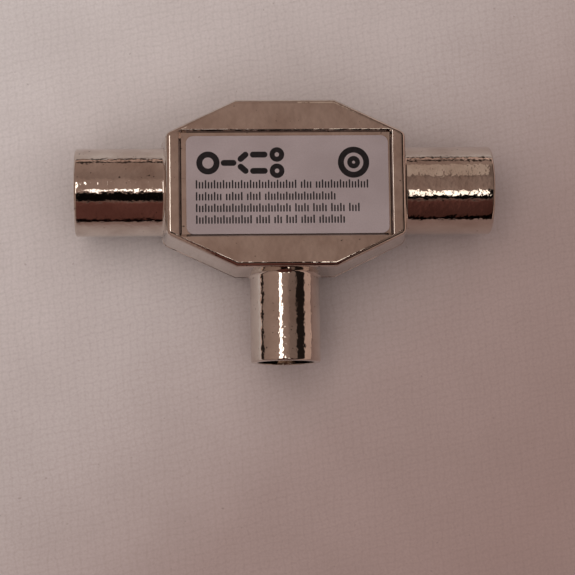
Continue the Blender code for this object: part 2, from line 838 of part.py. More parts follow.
def build_capacitor(parts):
    """The disc capacitor, standing on edge, and its leads to the plug's joint and to earth."""
    place = capacitor_place()
    radius, half = CAPACITOR_DIAMETER / 2, CAPACITOR_THICKNESS / 2
    upper = [(0, half), (radius * 0.55, half), *quarter_arc(radius * 0.55, radius, half, 0)]
    profile = upper + [(r, -h) for r, h in reversed(upper[:-1])]
    body = turned("compensation_capacitor", profile, SMALL_SIDES, parts, CAPACITOR_BODY)
    body.rotation_euler = (math.radians(90), 0, 0)
    body.location = place
    half_pitch = CAPACITOR_PITCH / 2
    drop = math.sqrt(radius**2 - half_pitch**2) + LEAD_DIAMETER
    for name, side, joint in (
        ("earth_capacitor_lead", -1, earth_joint()),
        ("live_capacitor_lead", 1, plug_joint()),
    ):
        top = place + Vector((side * half_pitch, 0, -drop))
        foot = top - Vector((0, 0, CAPACITOR_LEG))
        points = [
            top,
            foot,
            (joint.x, joint.y, foot.z),
            joint - Vector((0, 0, solder_radius() + GAP)),
        ]
        tube(name, points, LEAD_DIAMETER, 2 * LEAD_DIAMETER, parts, TINNED_WIRE)


def build_joint(name, place, parts):
    """A blob of solder, round across the tail it caps."""
    bm = bmesh.new()
    rings = SOLDER_SIDES // 2
    bmesh.ops.create_uvsphere(bm, u_segments=SOLDER_SIDES, v_segments=rings, radius=solder_radius())
    joint = mesh_object(name, bm, parts, SOLDER)
    joint.location = place


def build_all():
    """Builds every piece of the splitter."""
    clear_scene()
    parts = new_collection("coaxial_splitter")
    guides = new_collection("cutters")
    build_housing(parts, guides)
    build_cover(parts)
    build_label(parts)
    for axis in (LEFT, RIGHT):
        build_socket(axis, parts, guides)
    build_plug(parts)
    build_core("matching_core", matching_core_place(), parts, guides)
    build_core("hybrid_core", hybrid_core_place(), parts, guides)
    build_matching_winding(parts)
    build_hybrid_winding(parts)
    build_resistor(parts)
    build_capacitor(parts)
    build_joint("left_solder_joint", socket_joint(LEFT), parts)
    build_joint("right_solder_joint", socket_joint(RIGHT), parts)
    build_joint("plug_solder_joint", plug_joint(), parts)
    build_joint("centre_solder_joint", centre_joint(), parts)
    build_joint("earth_solder_joint", earth_joint(), parts)


build_all()
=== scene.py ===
"""The looks of a two-way coaxial splitter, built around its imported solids.

A bright nickel-plated die-casting lies on its back on a pale table, its label up, its plug barrel
towards the viewer and a socket barrel to each side. Lengths are metres in the frame of the solids:
+Z up out of the label, -Y along the plug, the origin on the back face under the barrels' crossing.
"""

from __future__ import annotations

import logging
import math
from dataclasses import dataclass
from enum import Enum
from typing import Callable, Sequence

import bmesh
import bpy
from mathutils import Matrix, Vector


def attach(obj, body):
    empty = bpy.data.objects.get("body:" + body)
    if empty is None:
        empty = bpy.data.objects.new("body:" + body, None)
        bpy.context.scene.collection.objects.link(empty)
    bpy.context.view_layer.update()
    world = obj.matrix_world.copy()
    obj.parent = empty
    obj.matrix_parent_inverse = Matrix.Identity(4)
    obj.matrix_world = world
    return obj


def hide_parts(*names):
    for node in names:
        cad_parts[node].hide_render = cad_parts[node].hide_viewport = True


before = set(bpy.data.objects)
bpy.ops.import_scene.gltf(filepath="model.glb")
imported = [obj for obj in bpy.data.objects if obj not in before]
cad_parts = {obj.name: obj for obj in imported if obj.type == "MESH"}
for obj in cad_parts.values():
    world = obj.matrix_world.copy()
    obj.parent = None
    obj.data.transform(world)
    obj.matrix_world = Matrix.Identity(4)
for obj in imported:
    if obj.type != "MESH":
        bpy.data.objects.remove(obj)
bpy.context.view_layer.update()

log = logging.getLogger("splitter")

MM = 0.001
# A wave texture draws this many bands in one unit, at a scale of 1.
BANDS_PER_UNIT = 3.2
# Most of a soft random pattern lies between these levels.
USUAL_LEVELS = (0.3, 0.7)

Pair = tuple[float, float]
Point = tuple[float, float, float]
Profile = list[Pair]
Stops = tuple[Pair, ...]
Fixed = tuple[tuple[str, float], ...]
Inputs = dict[str | int, object]
Mesh = bmesh.types.BMesh
Piece = bpy.types.Object
Node = bpy.types.Node
Socket = bpy.types.NodeSocket
Tree = bpy.types.NodeTree


# Colours and nodes


def linear(code: str) -> tuple[float, float, float, float]:
    """Turns an sRGB hex colour into the linear values that a shader takes.

    Args:
        code: The colour, such as "#B2A099".

    Returns:
        Red, green, blue and an alpha of 1, linear.
    """
    parts = [int(code[i : i + 2], 16) / 255 for i in (1, 3, 5)]
    light = [c / 12.92 if c <= 0.04045 else ((c + 0.055) / 1.055) ** 2.4 for c in parts]
    return (light[0], light[1], light[2], 1.0)


def per(size: float) -> float:
    """The scale at which a pattern in object coordinates has features of a real size in metres."""
    return 1.0 / size


def add_node(
    tree: Tree,
    kind: str,
    settings: dict[str, object] | None = None,
    inputs: Inputs | None = None,
) -> Node:
    """Adds a node, sets it up and links it.

    Args:
        tree: The node tree that takes it.
        kind: Blender's name for the kind of node.
        settings: Attributes of the node.
        inputs: For each input, by name or number, a value or the output socket that feeds it.

    Returns:
        The new node.
    """
    node = tree.nodes.new(kind)
    for name, value in (settings or {}).items():
        setattr(node, name, value)
    for name, value in (inputs or {}).items():
        if isinstance(value, Socket):
            tree.links.new(value, node.inputs[name])
        else:
            node.inputs[name].default_value = value
    return node


def set_ramp(node: Node, stops: Sequence[Pair]) -> None:
    """Gives a ramp its grey stops.

    Args:
        node: The ramp's node.
        stops: Place and level of each stop, both from 0 to 1.
    """
    ramp = node.color_ramp
    while len(ramp.elements) > 1:
        ramp.elements.remove(ramp.elements[-1])
    ramp.elements[0].position = stops[0][0]
    for place, _ in stops[1:]:
        ramp.elements.new(place)
    for element, (_, level) in zip(ramp.elements, stops):
        element.color = (level, level, level, 1.0)


@dataclass(frozen=True)
class Grain:
    """A soft random pattern: the real size of its features, its finer layers, and their strength."""

    size: float
    detail: float = 2.0
    roughness: float = 0.5

    def at(self, place: Socket) -> Inputs:
        """The inputs of the noise that draws it, at coordinates in metres."""
        return {"Vector": place, "Scale": per(self.size), "Detail": self.detail, "Roughness": self.roughness}


@dataclass(frozen=True)
class Lines:
    """A pattern of wavering parallel lines: their pitch, and how far and how finely they waver."""

    pitch: float
    wobble: float
    detail: float

    def at(self, place: Socket) -> Inputs:
        """The inputs of the wave that draws it, at coordinates in metres."""
        scale = per(self.pitch) / BANDS_PER_UNIT
        return {"Vector": place, "Scale": scale, "Distortion": self.wobble, "Detail": self.detail}


@dataclass(frozen=True)
class Veil:
    """A colour laid over what is below it, where a pattern rises through a range of levels."""

    colour: str
    rise: Pair = (0.4, 0.65)
    cover: float = 1.0


@dataclass(frozen=True)
class Coat:
    """A material while it is mixed: its nodes, its shader, coordinates in metres, and named patterns."""

    tree: Tree
    shader: Node
    place: Socket
    patterns: dict[str, Socket]

    def colour(self, base: str | Socket, *layers: tuple[Socket, Veil]) -> None:
        """Feeds the shader's colour.

        Args:
            base: The lowest colour, as a hex code or a socket.
            layers: Each pattern with the veil that it draws, in order.
        """
        mixed = linear(base) if isinstance(base, str) else base
        for pattern, veil in layers:
            low, high = veil.rise
            inputs = {"Value": pattern, "From Min": low, "From Max": high, "To Max": veil.cover}
            share = add_node(self.tree, "ShaderNodeMapRange", inputs=inputs).outputs[0]
            inputs = {0: share, 1: mixed, 2: linear(veil.colour)}
            mixed = add_node(self.tree, "ShaderNodeMixRGB", inputs=inputs).outputs[0]
        self.tree.links.new(mixed, self.shader.inputs["Base Color"])

    def polish(self, pattern: Socket, levels: Pair) -> None:
        """Feeds the shader's roughness.

        Args:
            pattern: The pattern that it follows.
            levels: The roughness at the usual ends of the pattern.
        """
        (start, end), (low, high) = USUAL_LEVELS, levels
        inputs = {"Value": pattern, "From Min": start, "From Max": end, "To Min": low, "To Max": high}
        followed = add_node(self.tree, "ShaderNodeMapRange", inputs=inputs).outputs[0]
        self.tree.links.new(followed, self.shader.inputs["Roughness"])

    def relief(self, *layers: tuple[Socket, float]) -> None:
        """Feeds the shader's normal.

        Args:
            layers: Each layer's pattern with its depth in metres, one on another.
        """
        below = {}
        for height, depth in layers:
            inputs = {"Height": height, "Distance": depth, "Strength": 1.0, **below}
            below = {"Normal": add_node(self.tree, "ShaderNodeBump", inputs=inputs).outputs[0]}
        self.tree.links.new(below["Normal"], self.shader.inputs["Normal"])


# Finishes, each named for its real material


@dataclass(frozen=True)
class Finish:
    """A surface finish: one procedural material, made once and shared.

    Each of its fields that is a Grain becomes a pattern of the material, under the field's name.
    """

    name: str
    fixed: Fixed = ()

    def material(self) -> bpy.types.Material:
        """Gives the finish's material, and makes it at the first call.

        Returns:
            The material.
        """
        found = bpy.data.materials.get(self.name)
        if found:
            return found
        made = bpy.data.materials.new(self.name)
        made.use_nodes = True
        tree = made.node_tree
        tree.nodes.clear()
        shader = add_node(tree, "ShaderNodeBsdfPrincipled")
        add_node(tree, "ShaderNodeOutputMaterial", inputs={"Surface": shader.outputs[0]})
        for socket, value in self.fixed:
            shader.inputs[socket].default_value = value
        place = add_node(tree, "ShaderNodeTexCoord").outputs["Object"]
        patterns = {}
        for name, value in vars(self).items():
            if isinstance(value, Grain):
                patterns[name] = add_node(tree, "ShaderNodeTexNoise", inputs=value.at(place)).outputs["Fac"]
        self.paint(Coat(tree, shader, place, patterns))
        return made

    def paint(self, coat: Coat) -> None:
        """Feeds the shader's colour, roughness and normal; each finish has its own way."""
        raise NotImplementedError

    def dress(self, piece: Piece) -> None:
        """Puts the finish on a piece, in place of any other material."""
        piece.data.materials.clear()
        piece.data.materials.append(self.material())


@dataclass(frozen=True)
class PatchyFinish(Finish):
    """A finish whose colour, polish and relief all follow one soft pattern."""

    colour: str = "#808080"
    shade: Veil = Veil("#707070")
    patch: Grain = Grain(0.5 * MM, 3.0)
    polish: Pair = (0.3, 0.5)
    depth: float = 0.006 * MM

    def paint(self, coat: Coat) -> None:
        """Lays patches of the shade over the colour, with their own polish and height.

        Args:
            coat: The material.
        """
        patch = coat.patterns["patch"]
        coat.colour(self.colour, (patch, self.shade))
        coat.polish(patch, self.polish)
        coat.relief((patch, self.depth))


@dataclass(frozen=True)
class NickelPlate(Finish):
    """Bright nickel over zinc, barrelled and plated: a warm grey mirror, wavy like orange peel.

    The rolled edges and the barrels are pitted finely, and the body's flat walls far less. flat_reach is
    how far the walls reach along X and along -Y, and flat_share is what is left of the pits on them.
    """

    fixed: Fixed = (("Metallic", 1.0),)
    colour: str = "#D2C9C0"
    cloud: Grain = Grain(5.0 * MM, 3.0, 0.6)
    dull: Veil = Veil("#BCAFA5", (0.4, 0.7))
    pinhole: Grain = Grain(0.5 * MM, 1.0)
    dark: Veil = Veil("#4E4238", (0.73, 0.77), 0.8)
    polish: Pair = (0.03, 0.09)
    peel: Grain = Grain(1.0 * MM, 1.0, 0.4)
    peel_depth: float = 0.03 * MM
    pit: Grain = Grain(0.42 * MM, 1.0, 0.4)
    pit_depth: float = 0.018 * MM
    flat_reach: Pair = (16.7 * MM, 11.9 * MM)
    flat_share: float = 0.3
    flat_fade: float = 0.4 * MM

    def pitting(self, coat: Coat) -> Socket:
        """Gives how deep the pits are, from place to place.

        Args:
            coat: The material.

        Returns:
            1 on the barrels, and flat_share on the body.
        """
        tree, (reach_x, reach_y) = coat.tree, self.flat_reach
        parts = add_node(tree, "ShaderNodeSeparateXYZ", inputs={0: coat.place})
        side = add_node(tree, "ShaderNodeMath", {"operation": "ABSOLUTE"}, {0: parts.outputs[0]})
        inputs = {0: side.outputs[0], 1: reach_x - reach_y}
        side = add_node(tree, "ShaderNodeMath", {"operation": "SUBTRACT"}, inputs)
        ahead = add_node(tree, "ShaderNodeMath", {"operation": "MULTIPLY"}, {0: parts.outputs[1], 1: -1.0})
        inputs = {0: side.outputs[0], 1: ahead.outputs[0]}
        out = add_node(tree, "ShaderNodeMath", {"operation": "MAXIMUM"}, inputs).outputs[0]
        faded = reach_y + self.flat_fade
        inputs = {"Value": out, "From Min": reach_y, "From Max": faded, "To Min": self.flat_share}
        return add_node(tree, "ShaderNodeMapRange", inputs=inputs).outputs[0]

    def paint(self, coat: Coat) -> None:
        """Lays clouds of duller plating and a few dark pinholes, over waves and pits.

        Args:
            coat: The material.
        """
        found = coat.patterns
        coat.colour(self.colour, (found["cloud"], self.dull), (found["pinhole"], self.dark))
        coat.polish(found["cloud"], self.polish)
        inputs = {0: found["pit"], 1: self.pitting(coat)}
        pits = add_node(coat.tree, "ShaderNodeMath", {"operation": "MULTIPLY"}, inputs).outputs[0]
        coat.relief((found["peel"], self.peel_depth), (pits, self.pit_depth))


@dataclass(frozen=True)
class LabelFilm(Finish):
    """Matt silver polyester film: an even cool grey with a faint metallic grain and no clear reflection."""

    fixed: Fixed = (("Metallic", 0.35),)
    colour: str = "#968986"
    cloud: Grain = Grain(6.0 * MM)
    shade: Veil = Veil("#887B78", (0.35, 0.65), 0.7)
    grain: Grain = Grain(0.15 * MM)
    speckle: Veil = Veil("#887B78", (0.35, 0.7), 0.25)
    polish: Pair = (0.42, 0.58)
    grain_depth: float = 0.004 * MM

    def paint(self, coat: Coat) -> None:
        """Lays wide clouds and a fine grain of the shade over the colour.

        Args:
            coat: The material.
        """
        grain = coat.patterns["grain"]
        coat.colour(self.colour, (coat.patterns["cloud"], self.shade), (grain, self.speckle))
        coat.polish(grain, self.polish)
        coat.relief((grain, self.grain_depth))


@dataclass(frozen=True)
class PrintInk(PatchyFinish):
    """Screen-printed ink: dark, thin and satin, uneven in patches where it was squeezed through the mesh."""

    fixed: Fixed = (("Specular IOR Level", 0.3),)
    colour: str = "#0B0809"
    shade: Veil = Veil("#171213")
    patch: Grain = Grain(0.4 * MM)
    polish: Pair = (0.5, 0.65)
    depth: float = 0.002 * MM


@dataclass(frozen=True)
class MouldedPolystyrene(Finish):
    """Moulded polystyrene, uncoloured: milky off-white, satin, and slightly see-through at thin edges."""

    fixed: Fixed = (("Subsurface Weight", 0.15), ("Subsurface Scale", 0.4 * MM))
    colour: str = "#E4E0D6"
    flow: Grain = Grain(2.0 * MM)
    shade: Veil = Veil("#D3CDBF", (0.35, 0.65))
    grain: Grain = Grain(0.12 * MM)
    polish: Pair = (0.35, 0.5)
    grain_depth: float = 0.003 * MM

    def paint(self, coat: Coat) -> None:
        """Lays the soft clouds of the melt's flow, under the fine grain of an eroded mould.

        Args:
            coat: The material.
        """
        grain = coat.patterns["grain"]
        coat.colour(self.colour, (coat.patterns["flow"], self.shade))
        coat.polish(grain, self.polish)
        coat.relief((grain, self.grain_depth))


@dataclass(frozen=True)
class TurnedBrass(Finish):
    """Turned brass under a nickel flash: silver-grey with a hint of yellow, and the tool's fine rings."""

    fixed: Fixed = (("Metallic", 1.0),)
    colour: str = "#CFC6B6"
    tarnish: Grain = Grain(1.5 * MM, 3.0)
    shade: Veil = Veil("#A89C86", (0.4, 0.7))
    polish: Pair = (0.18, 0.32)
    axis: str = "X"
    feed: Lines = Lines(0.12 * MM, 1.5, 2.0)
    feed_depth: float = 0.0012 * MM

    def paint(self, coat: Coat) -> None:
        """Lays clouds of tarnish over the tool's rings, which follow each other along the axis.

        Args:
            coat: The material.
        """
        cloud = coat.patterns["tarnish"]
        coat.colour(self.colour, (cloud, self.shade))
        coat.polish(cloud, self.polish)
        settings = {"bands_direction": self.axis}
        rings = add_node(coat.tree, "ShaderNodeTexWave", settings, self.feed.at(coat.place)).outputs["Fac"]
        coat.relief((rings, self.feed_depth))


@dataclass(frozen=True)
class StampedPlate(Finish):
    """Nickel-plated sheet steel, blanked from rolled strip: smoother than the casting, with rolling lines."""

    fixed: Fixed = (("Metallic", 1.0),)
    colour: str = "#C9BEB2"
    cloud: Grain = Grain(6.0 * MM, 3.0)
    cloud_depth: float = 0.01 * MM
    shade: Veil = Veil("#AFA294", (0.4, 0.7))
    line: Grain = Grain(0.2 * MM, 3.0)
    line_depth: float = 0.0015 * MM
    drawn: Point = (0.02, 1.0, 1.0)
    polish: Pair = (0.2, 0.36)

    def paint(self, coat: Coat) -> None:
        """Draws a fine pattern out along X into lines, in polish and relief, over wide clouds.

        Args:
            coat: The material.
        """
        cloud, lines = coat.patterns["cloud"], coat.patterns["line"]
        inputs = {"Vector": coat.place, "Scale": self.drawn}
        drawn = add_node(coat.tree, "ShaderNodeMapping", inputs=inputs).outputs[0]
        coat.tree.links.new(drawn, lines.node.inputs["Vector"])
        coat.colour(self.colour, (cloud, self.shade))
        coat.polish(lines, self.polish)
        coat.relief((lines, self.line_depth), (cloud, self.cloud_depth))


@dataclass(frozen=True)
class FiredFerrite(PatchyFinish):
    """Pressed and fired ferrite: dark grey ceramic, matt, with the fine grain of its powder."""

    colour: str = "#34343A"
    shade: Veil = Veil("#222226", (0.35, 0.65))
    patch: Grain = Grain(0.1 * MM, 3.0)
    polish: Pair = (0.45, 0.7)


@dataclass(frozen=True)
class EnamelledCopper(PatchyFinish):
    """Copper magnet wire under clear enamel: glossy red-brown, brighter where the enamel is thin."""

    fixed: Fixed = (("Metallic", 0.8), ("Coat Weight", 0.6), ("Coat Roughness", 0.12))
    colour: str = "#A8512B"
    shade: Veil = Veil("#7E3519")
    patch: Grain = Grain(0.8 * MM, 3.0)
    polish: Pair = (0.22, 0.38)
    depth: float = 0.004 * MM


@dataclass(frozen=True)
class TinnedMetal(PatchyFinish):
    """Tin over copper, drawn as wire or set as solder: soft silver-grey, satin, with frosty patches."""

    fixed: Fixed = (("Metallic", 1.0),)
    colour: str = "#CFCFCB"
    shade: Veil = Veil("#A5A5A2")
    polish: Pair = (0.2, 0.42)


@dataclass(frozen=True)
class DippedLacquer(PatchyFinish):
    """Dipped lacquer over a small component: opaque, slightly lumpy, with an eggshell gloss."""

    colour: str = "#CBB488"
    shade: Veil = Veil("#B39A6C")
    patch: Grain = Grain(0.6 * MM, 3.0)
    depth: float = 0.012 * MM


@dataclass(frozen=True)
class TablePaper(Finish):
    """The table's embossed paper: pinkish grey and matt, its grain like fine cloth, with painted shade that
    deepens it towards the near right.

    Threads of 1.1 mm are coarser than a real cloth's, as coarse as they need to be to show. Below
    thread_break a thread is broken off.
    """

    fixed: Fixed = (("Specular IOR Level", 0.2),)
    # The colour runs from pale at the far left to a darker painted shade at the near right, standing in for
    # light that falls off across the table.
    pale: str = "#CEC8C2"
    painted_shade: str = "#937D75"
    reach: float = 79 * MM
    falloff: Stops = ((0.0, 0.0), (0.25, 0.28), (0.5, 0.46), (0.75, 0.88), (1.0, 1.0))
    cloud: Grain = Grain(14.0 * MM, 3.0, 0.6)
    clouding: Veil = Veil("#5E4E44", (0.35, 0.65), 0.08)
    cloud_depth: float = 0.1 * MM
    grain: Grain = Grain(0.35 * MM, 3.0, 0.6)
    graining: Veil = Veil("#5E4E44", (0.4, 0.75), 0.16)
    grain_depth: float = 0.008 * MM
    speck: Grain = Grain(0.9 * MM, 1.0)
    specking: Veil = Veil("#5E4E44", (0.76, 0.8), 0.3)
    thread: Lines = Lines(1.1 * MM, 5.0, 3.0)
    thread_turns: Pair = (-14.0, 86.0)
    thread_break: float = 0.75
    weaving: Veil = Veil("#5E4E44", (0.0, 1.0), 0.05)
    thread_depth: float = -0.003 * MM
    polish: Pair = (0.8, 0.95)

    def tone_with_painted_shade(self, coat: Coat) -> Socket:
        """Gives the table's colour with painted shade, which deepens it from the far left to the near right.

        Args:
            coat: The material.

        Returns:
            The colour.
        """
        # Painted shade: the colour darkens as X minus Y grows, from the far left to the near right.
        parts = add_node(coat.tree, "ShaderNodeSeparateXYZ", inputs={0: coat.place})
        inputs = {0: parts.outputs[0], 1: parts.outputs[1]}
        across = add_node(coat.tree, "ShaderNodeMath", {"operation": "SUBTRACT"}, inputs).outputs[0]
        inputs = {"Value": across, "From Min": -self.reach, "From Max": self.reach}
        share = add_node(coat.tree, "ShaderNodeMapRange", inputs=inputs).outputs[0]
        ramp = add_node(coat.tree, "ShaderNodeValToRGB", inputs={0: share})
        set_ramp(ramp, self.falloff)
        inputs = {0: ramp.outputs[0], 1: linear(self.pale), 2: linear(self.painted_shade)}
        return add_node(coat.tree, "ShaderNodeMixRGB", inputs=inputs).outputs[0]

    def threads(self, coat: Coat, turn: float) -> Socket:
        """Adds faint broken lines, like the threads of a cloth.

        Args:
            coat: The material.
            turn: The lines' turn, in degrees.

        Returns:
            The lines' strength.
        """
        tree = coat.tree
        inputs = {"Vector": coat.place, "Rotation": (0.0, 0.0, math.radians(turn))}
        turned = add_node(tree, "ShaderNodeMapping", inputs=inputs).outputs[0]
        lines = add_node(tree, "ShaderNodeTexWave", {"bands_direction": "Y"}, self.thread.at(turned))
        inputs = {"Value": lines.outputs["Fac"], "From Min": self.thread_break}
        return add_node(tree, "ShaderNodeMapRange", inputs=inputs).outputs[0]

    def paint(self, coat: Coat) -> None:
        """Lays clouds, grain, specks and two sets of threads over the colour and its painted shade.

        Args:
            coat: The material.
        """
        cloud, grain = coat.patterns["cloud"], coat.patterns["grain"]
        weave = [self.threads(coat, turn) for turn in self.thread_turns]
        layers = [(cloud, self.clouding), (grain, self.graining), (coat.patterns["speck"], self.specking)]
        layers += [(lines, self.weaving) for lines in weave]
        coat.colour(self.tone_with_painted_shade(coat), *layers)
        coat.polish(grain, self.polish)
        coat.relief((grain, self.grain_depth), (cloud, self.cloud_depth), (weave[0], self.thread_depth))


# Mesh tools


def make_object(name: str, bm: Mesh) -> Piece:
    """Turns a bmesh into an object in the scene, its faces turned outwards.

    Args:
        name: The object's name.
        bm: The mesh, which is freed.

    Returns:
        The object.
    """
    bmesh.ops.recalc_face_normals(bm, faces=bm.faces)
    mesh = bpy.data.meshes.new(name)
    bm.to_mesh(mesh)
    bm.free()
    made = bpy.data.objects.new(name, mesh)
    bpy.context.scene.collection.objects.link(made)
    return made


def skin(bm: Mesh, rings: Sequence[Sequence[Point | Vector]]) -> None:
    """Skins a closed solid over rings of equal length, with a flat face on the first and the last.

    Args:
        bm: The mesh that takes it.
        rings: The rings' points.
    """
    loops = [[bm.verts.new(point) for point in ring] for ring in rings]
    count = len(rings[0])
    for near, far in zip(loops, loops[1:]):
        for i in range(count):
            j = (i + 1) % count
            bm.faces.new((near[i], near[j], far[j], far[i]))
    bm.faces.new(loops[0])
    bm.faces.new(loops[-1])


def skinned(name: str, rings: Sequence[Sequence[Point | Vector]]) -> Piece:
    """Makes an object of one solid that is skinned over rings.

    Args:
        name: The object's name.
        rings: The rings' points.

    Returns:
        The object.
    """
    bm = bmesh.new()
    skin(bm, rings)
    return make_object(name, bm)


def turn_profile(profile: Profile, sides: int, ring: bool = False) -> Mesh:
    """Turns a profile about Z.

    Args:
        profile: Radius and height of each point; an open profile starts and ends on the axis.
        sides: How many facets go round.
        ring: Whether the profile is closed on itself, clear of the axis.

    Returns:
        The turned solid.
    """
    bm = bmesh.new()
    loops = []
    for radius, height in profile:
        if radius == 0:
            loops.append([bm.verts.new((0, 0, height))])
            continue
        angles = [math.tau * i / sides for i in range(sides)]
        loops.append([bm.verts.new((radius * math.cos(a), radius * math.sin(a), height)) for a in angles])
    pairs = list(zip(loops, loops[1:]))
    if ring:
        pairs.append((loops[-1], loops[0]))
    for near, far in pairs:
        for i in range(sides):
            j = (i + 1) % sides
            corners = [near[i % len(near)], near[j % len(near)], far[j % len(far)], far[i % len(far)]]
            bm.faces.new(list(dict.fromkeys(corners)))
    return bm


def ease(start: Pair, end: Pair, outward: bool, steps: int) -> Profile:
    """Eases a profile's corner with a quarter of an ellipse.

    Args:
        start: Radius and height where the curve starts.
        end: Radius and height where it ends.
        outward: Whether the radius leaves first, and the height follows.
        steps: How many facets the curve has.

    Returns:
        The points from start to end.
    """
    points = []
    for i in range(steps + 1):
        turn = math.pi / 2 * i / steps
        first, last = math.sin(turn), 1 - math.cos(turn)
        across, along = (first, last) if outward else (last, first)
        points.append((start[0] + (end[0] - start[0]) * across, start[1] + (end[1] - start[1]) * along))
    return points


def sweep(centre: Pair, radius: float, begin: float, turn: float, steps: int) -> Profile:
    """Gives the points of an arc that starts at the angle begin and goes round by turn, in radians."""
    angles = [begin + turn * i / steps for i in range(steps + 1)]
    return [(centre[0] + radius * math.cos(a), centre[1] + radius * math.sin(a)) for a in angles]


def rounded_box(x: float, y: float, radius: float, steps: int) -> Profile:
    """Gives the outline of a rectangle with rounded corners.

    Args:
        x: Half the distance between the corners' centres, along X.
        y: The same along Y.
        radius: The corners' radius.
        steps: How many facets a corner has.

    Returns:
        The points, counter-clockwise.
    """
    points = []
    for quarter, centre in enumerate(((x, y), (-x, y), (-x, -y), (x, -y))):
        points += sweep(centre, radius, math.pi / 2 * quarter, math.pi / 2, steps)
    return points


def carve(target: Piece, cutter: Piece, operation: str = "DIFFERENCE") -> None:
    """Adds an exact Boolean to a piece; the cutter is taken away when the piece settles.

    Args:
        target: The piece.
        cutter: What cuts it or joins it.
        operation: DIFFERENCE or UNION.
    """
    step = target.modifiers.new(cutter.name, "BOOLEAN")
    step.operation = operation
    step.object = cutter
    step.solver = "EXACT"


def round_edges(target: Piece, width: float, segments: int, angle: float = 20.0) -> None:
    """Rounds a piece's edges.

    Args:
        target: The piece.
        width: How far from the edge the rounding starts, in metres.
        segments: How many facets it has.
        angle: Edges sharper than this many degrees are rounded.
    """
    step = target.modifiers.new("rounding", "BEVEL")
    step.width = width
    step.segments = segments
    step.limit_method = "ANGLE"
    step.angle_limit = math.radians(angle)


def settle(piece: Piece) -> Piece:
    """Turns a piece and its modifiers into one plain mesh, and removes its cutters.

    Args:
        piece: The piece.

    Returns:
        The same piece.
    """
    cutters = [step.object for step in piece.modifiers if step.type == "BOOLEAN"]
    evaluated = piece.evaluated_get(bpy.context.evaluated_depsgraph_get())
    mesh = bpy.data.meshes.new_from_object(evaluated)
    piece.modifiers.clear()
    piece.data = mesh
    for cutter in cutters:
        bpy.data.objects.remove(cutter, do_unlink=True)
    return piece


def smooth(piece: Piece, angle: float = 32.0) -> Piece:
    """Shades a piece smooth, but crisp at edges and flat on its flat faces.

    Args:
        piece: The piece.
        angle: Edges sharper than this many degrees stay crisp.

    Returns:
        The same piece.
    """
    piece.data.shade_smooth()
    piece.data.set_sharp_from_angle(angle=math.radians(angle))
    even = piece.modifiers.new("even_normals", "WEIGHTED_NORMAL")
    even.keep_sharp = True
    even.weight = 60
    return piece


def hand_over(piece: Piece, finish: Finish, slot: str, *nodes: str) -> None:
    """Dresses a piece, lets it move with the body, and lets it stand for CAD nodes.

    Args:
        piece: The piece.
        finish: Its finish.
        slot: The record's material slot; not used.
        nodes: The CAD nodes that it replaces, if any.
    """
    finish.dress(piece)
    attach(piece, "root")
    if nodes:
        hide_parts(*nodes)
    log.info("built %s", piece.name)


# The splitter's own shape


class Port(Enum):
    """The three barrels, with the way each points and the turn that lays Z along it."""

    LEFT = ("left_socket", (-1, 0, 0), ("Y", -90))
    RIGHT = ("right_socket", (1, 0, 0), ("Y", 90))
    PLUG = ("plug", (0, -1, 0), ("X", 90))

    @property
    def label(self) -> str:
        """The port's name in the CAD nodes."""
        return self.value[0]

    @property
    def direction(self) -> Vector:
        """The way the barrel points."""
        return Vector(self.value[1])

    def lay(self, bm: Mesh, height: float) -> Mesh:
        """Lays a solid turned about Z along the barrel's axis.

        Args:
            bm: The solid, which is changed.
            height: Height of the axis.

        Returns:
            The same solid.
        """
        axis, degrees = self.value[2]
        turn = Matrix.Rotation(math.radians(degrees), 4, axis)
        bmesh.ops.transform(bm, matrix=Matrix.Translation((0, 0, height)) @ turn, verts=bm.verts)
        return bm


@dataclass(frozen=True)
class Barrel:
    """Sizes of one barrel, its length measured from the body's wall."""

    diameter: float
    length: float
    lip: float
    bore: float
    bore_depth: float
    mouth: float
    wall_hole: float
    fillet: float = 0.45 * MM
    sides: int = 144
    fillet_facets: int = 10
    length_facets: int = 12
    lip_facets: int = 8
    mouth_facets: int = 5


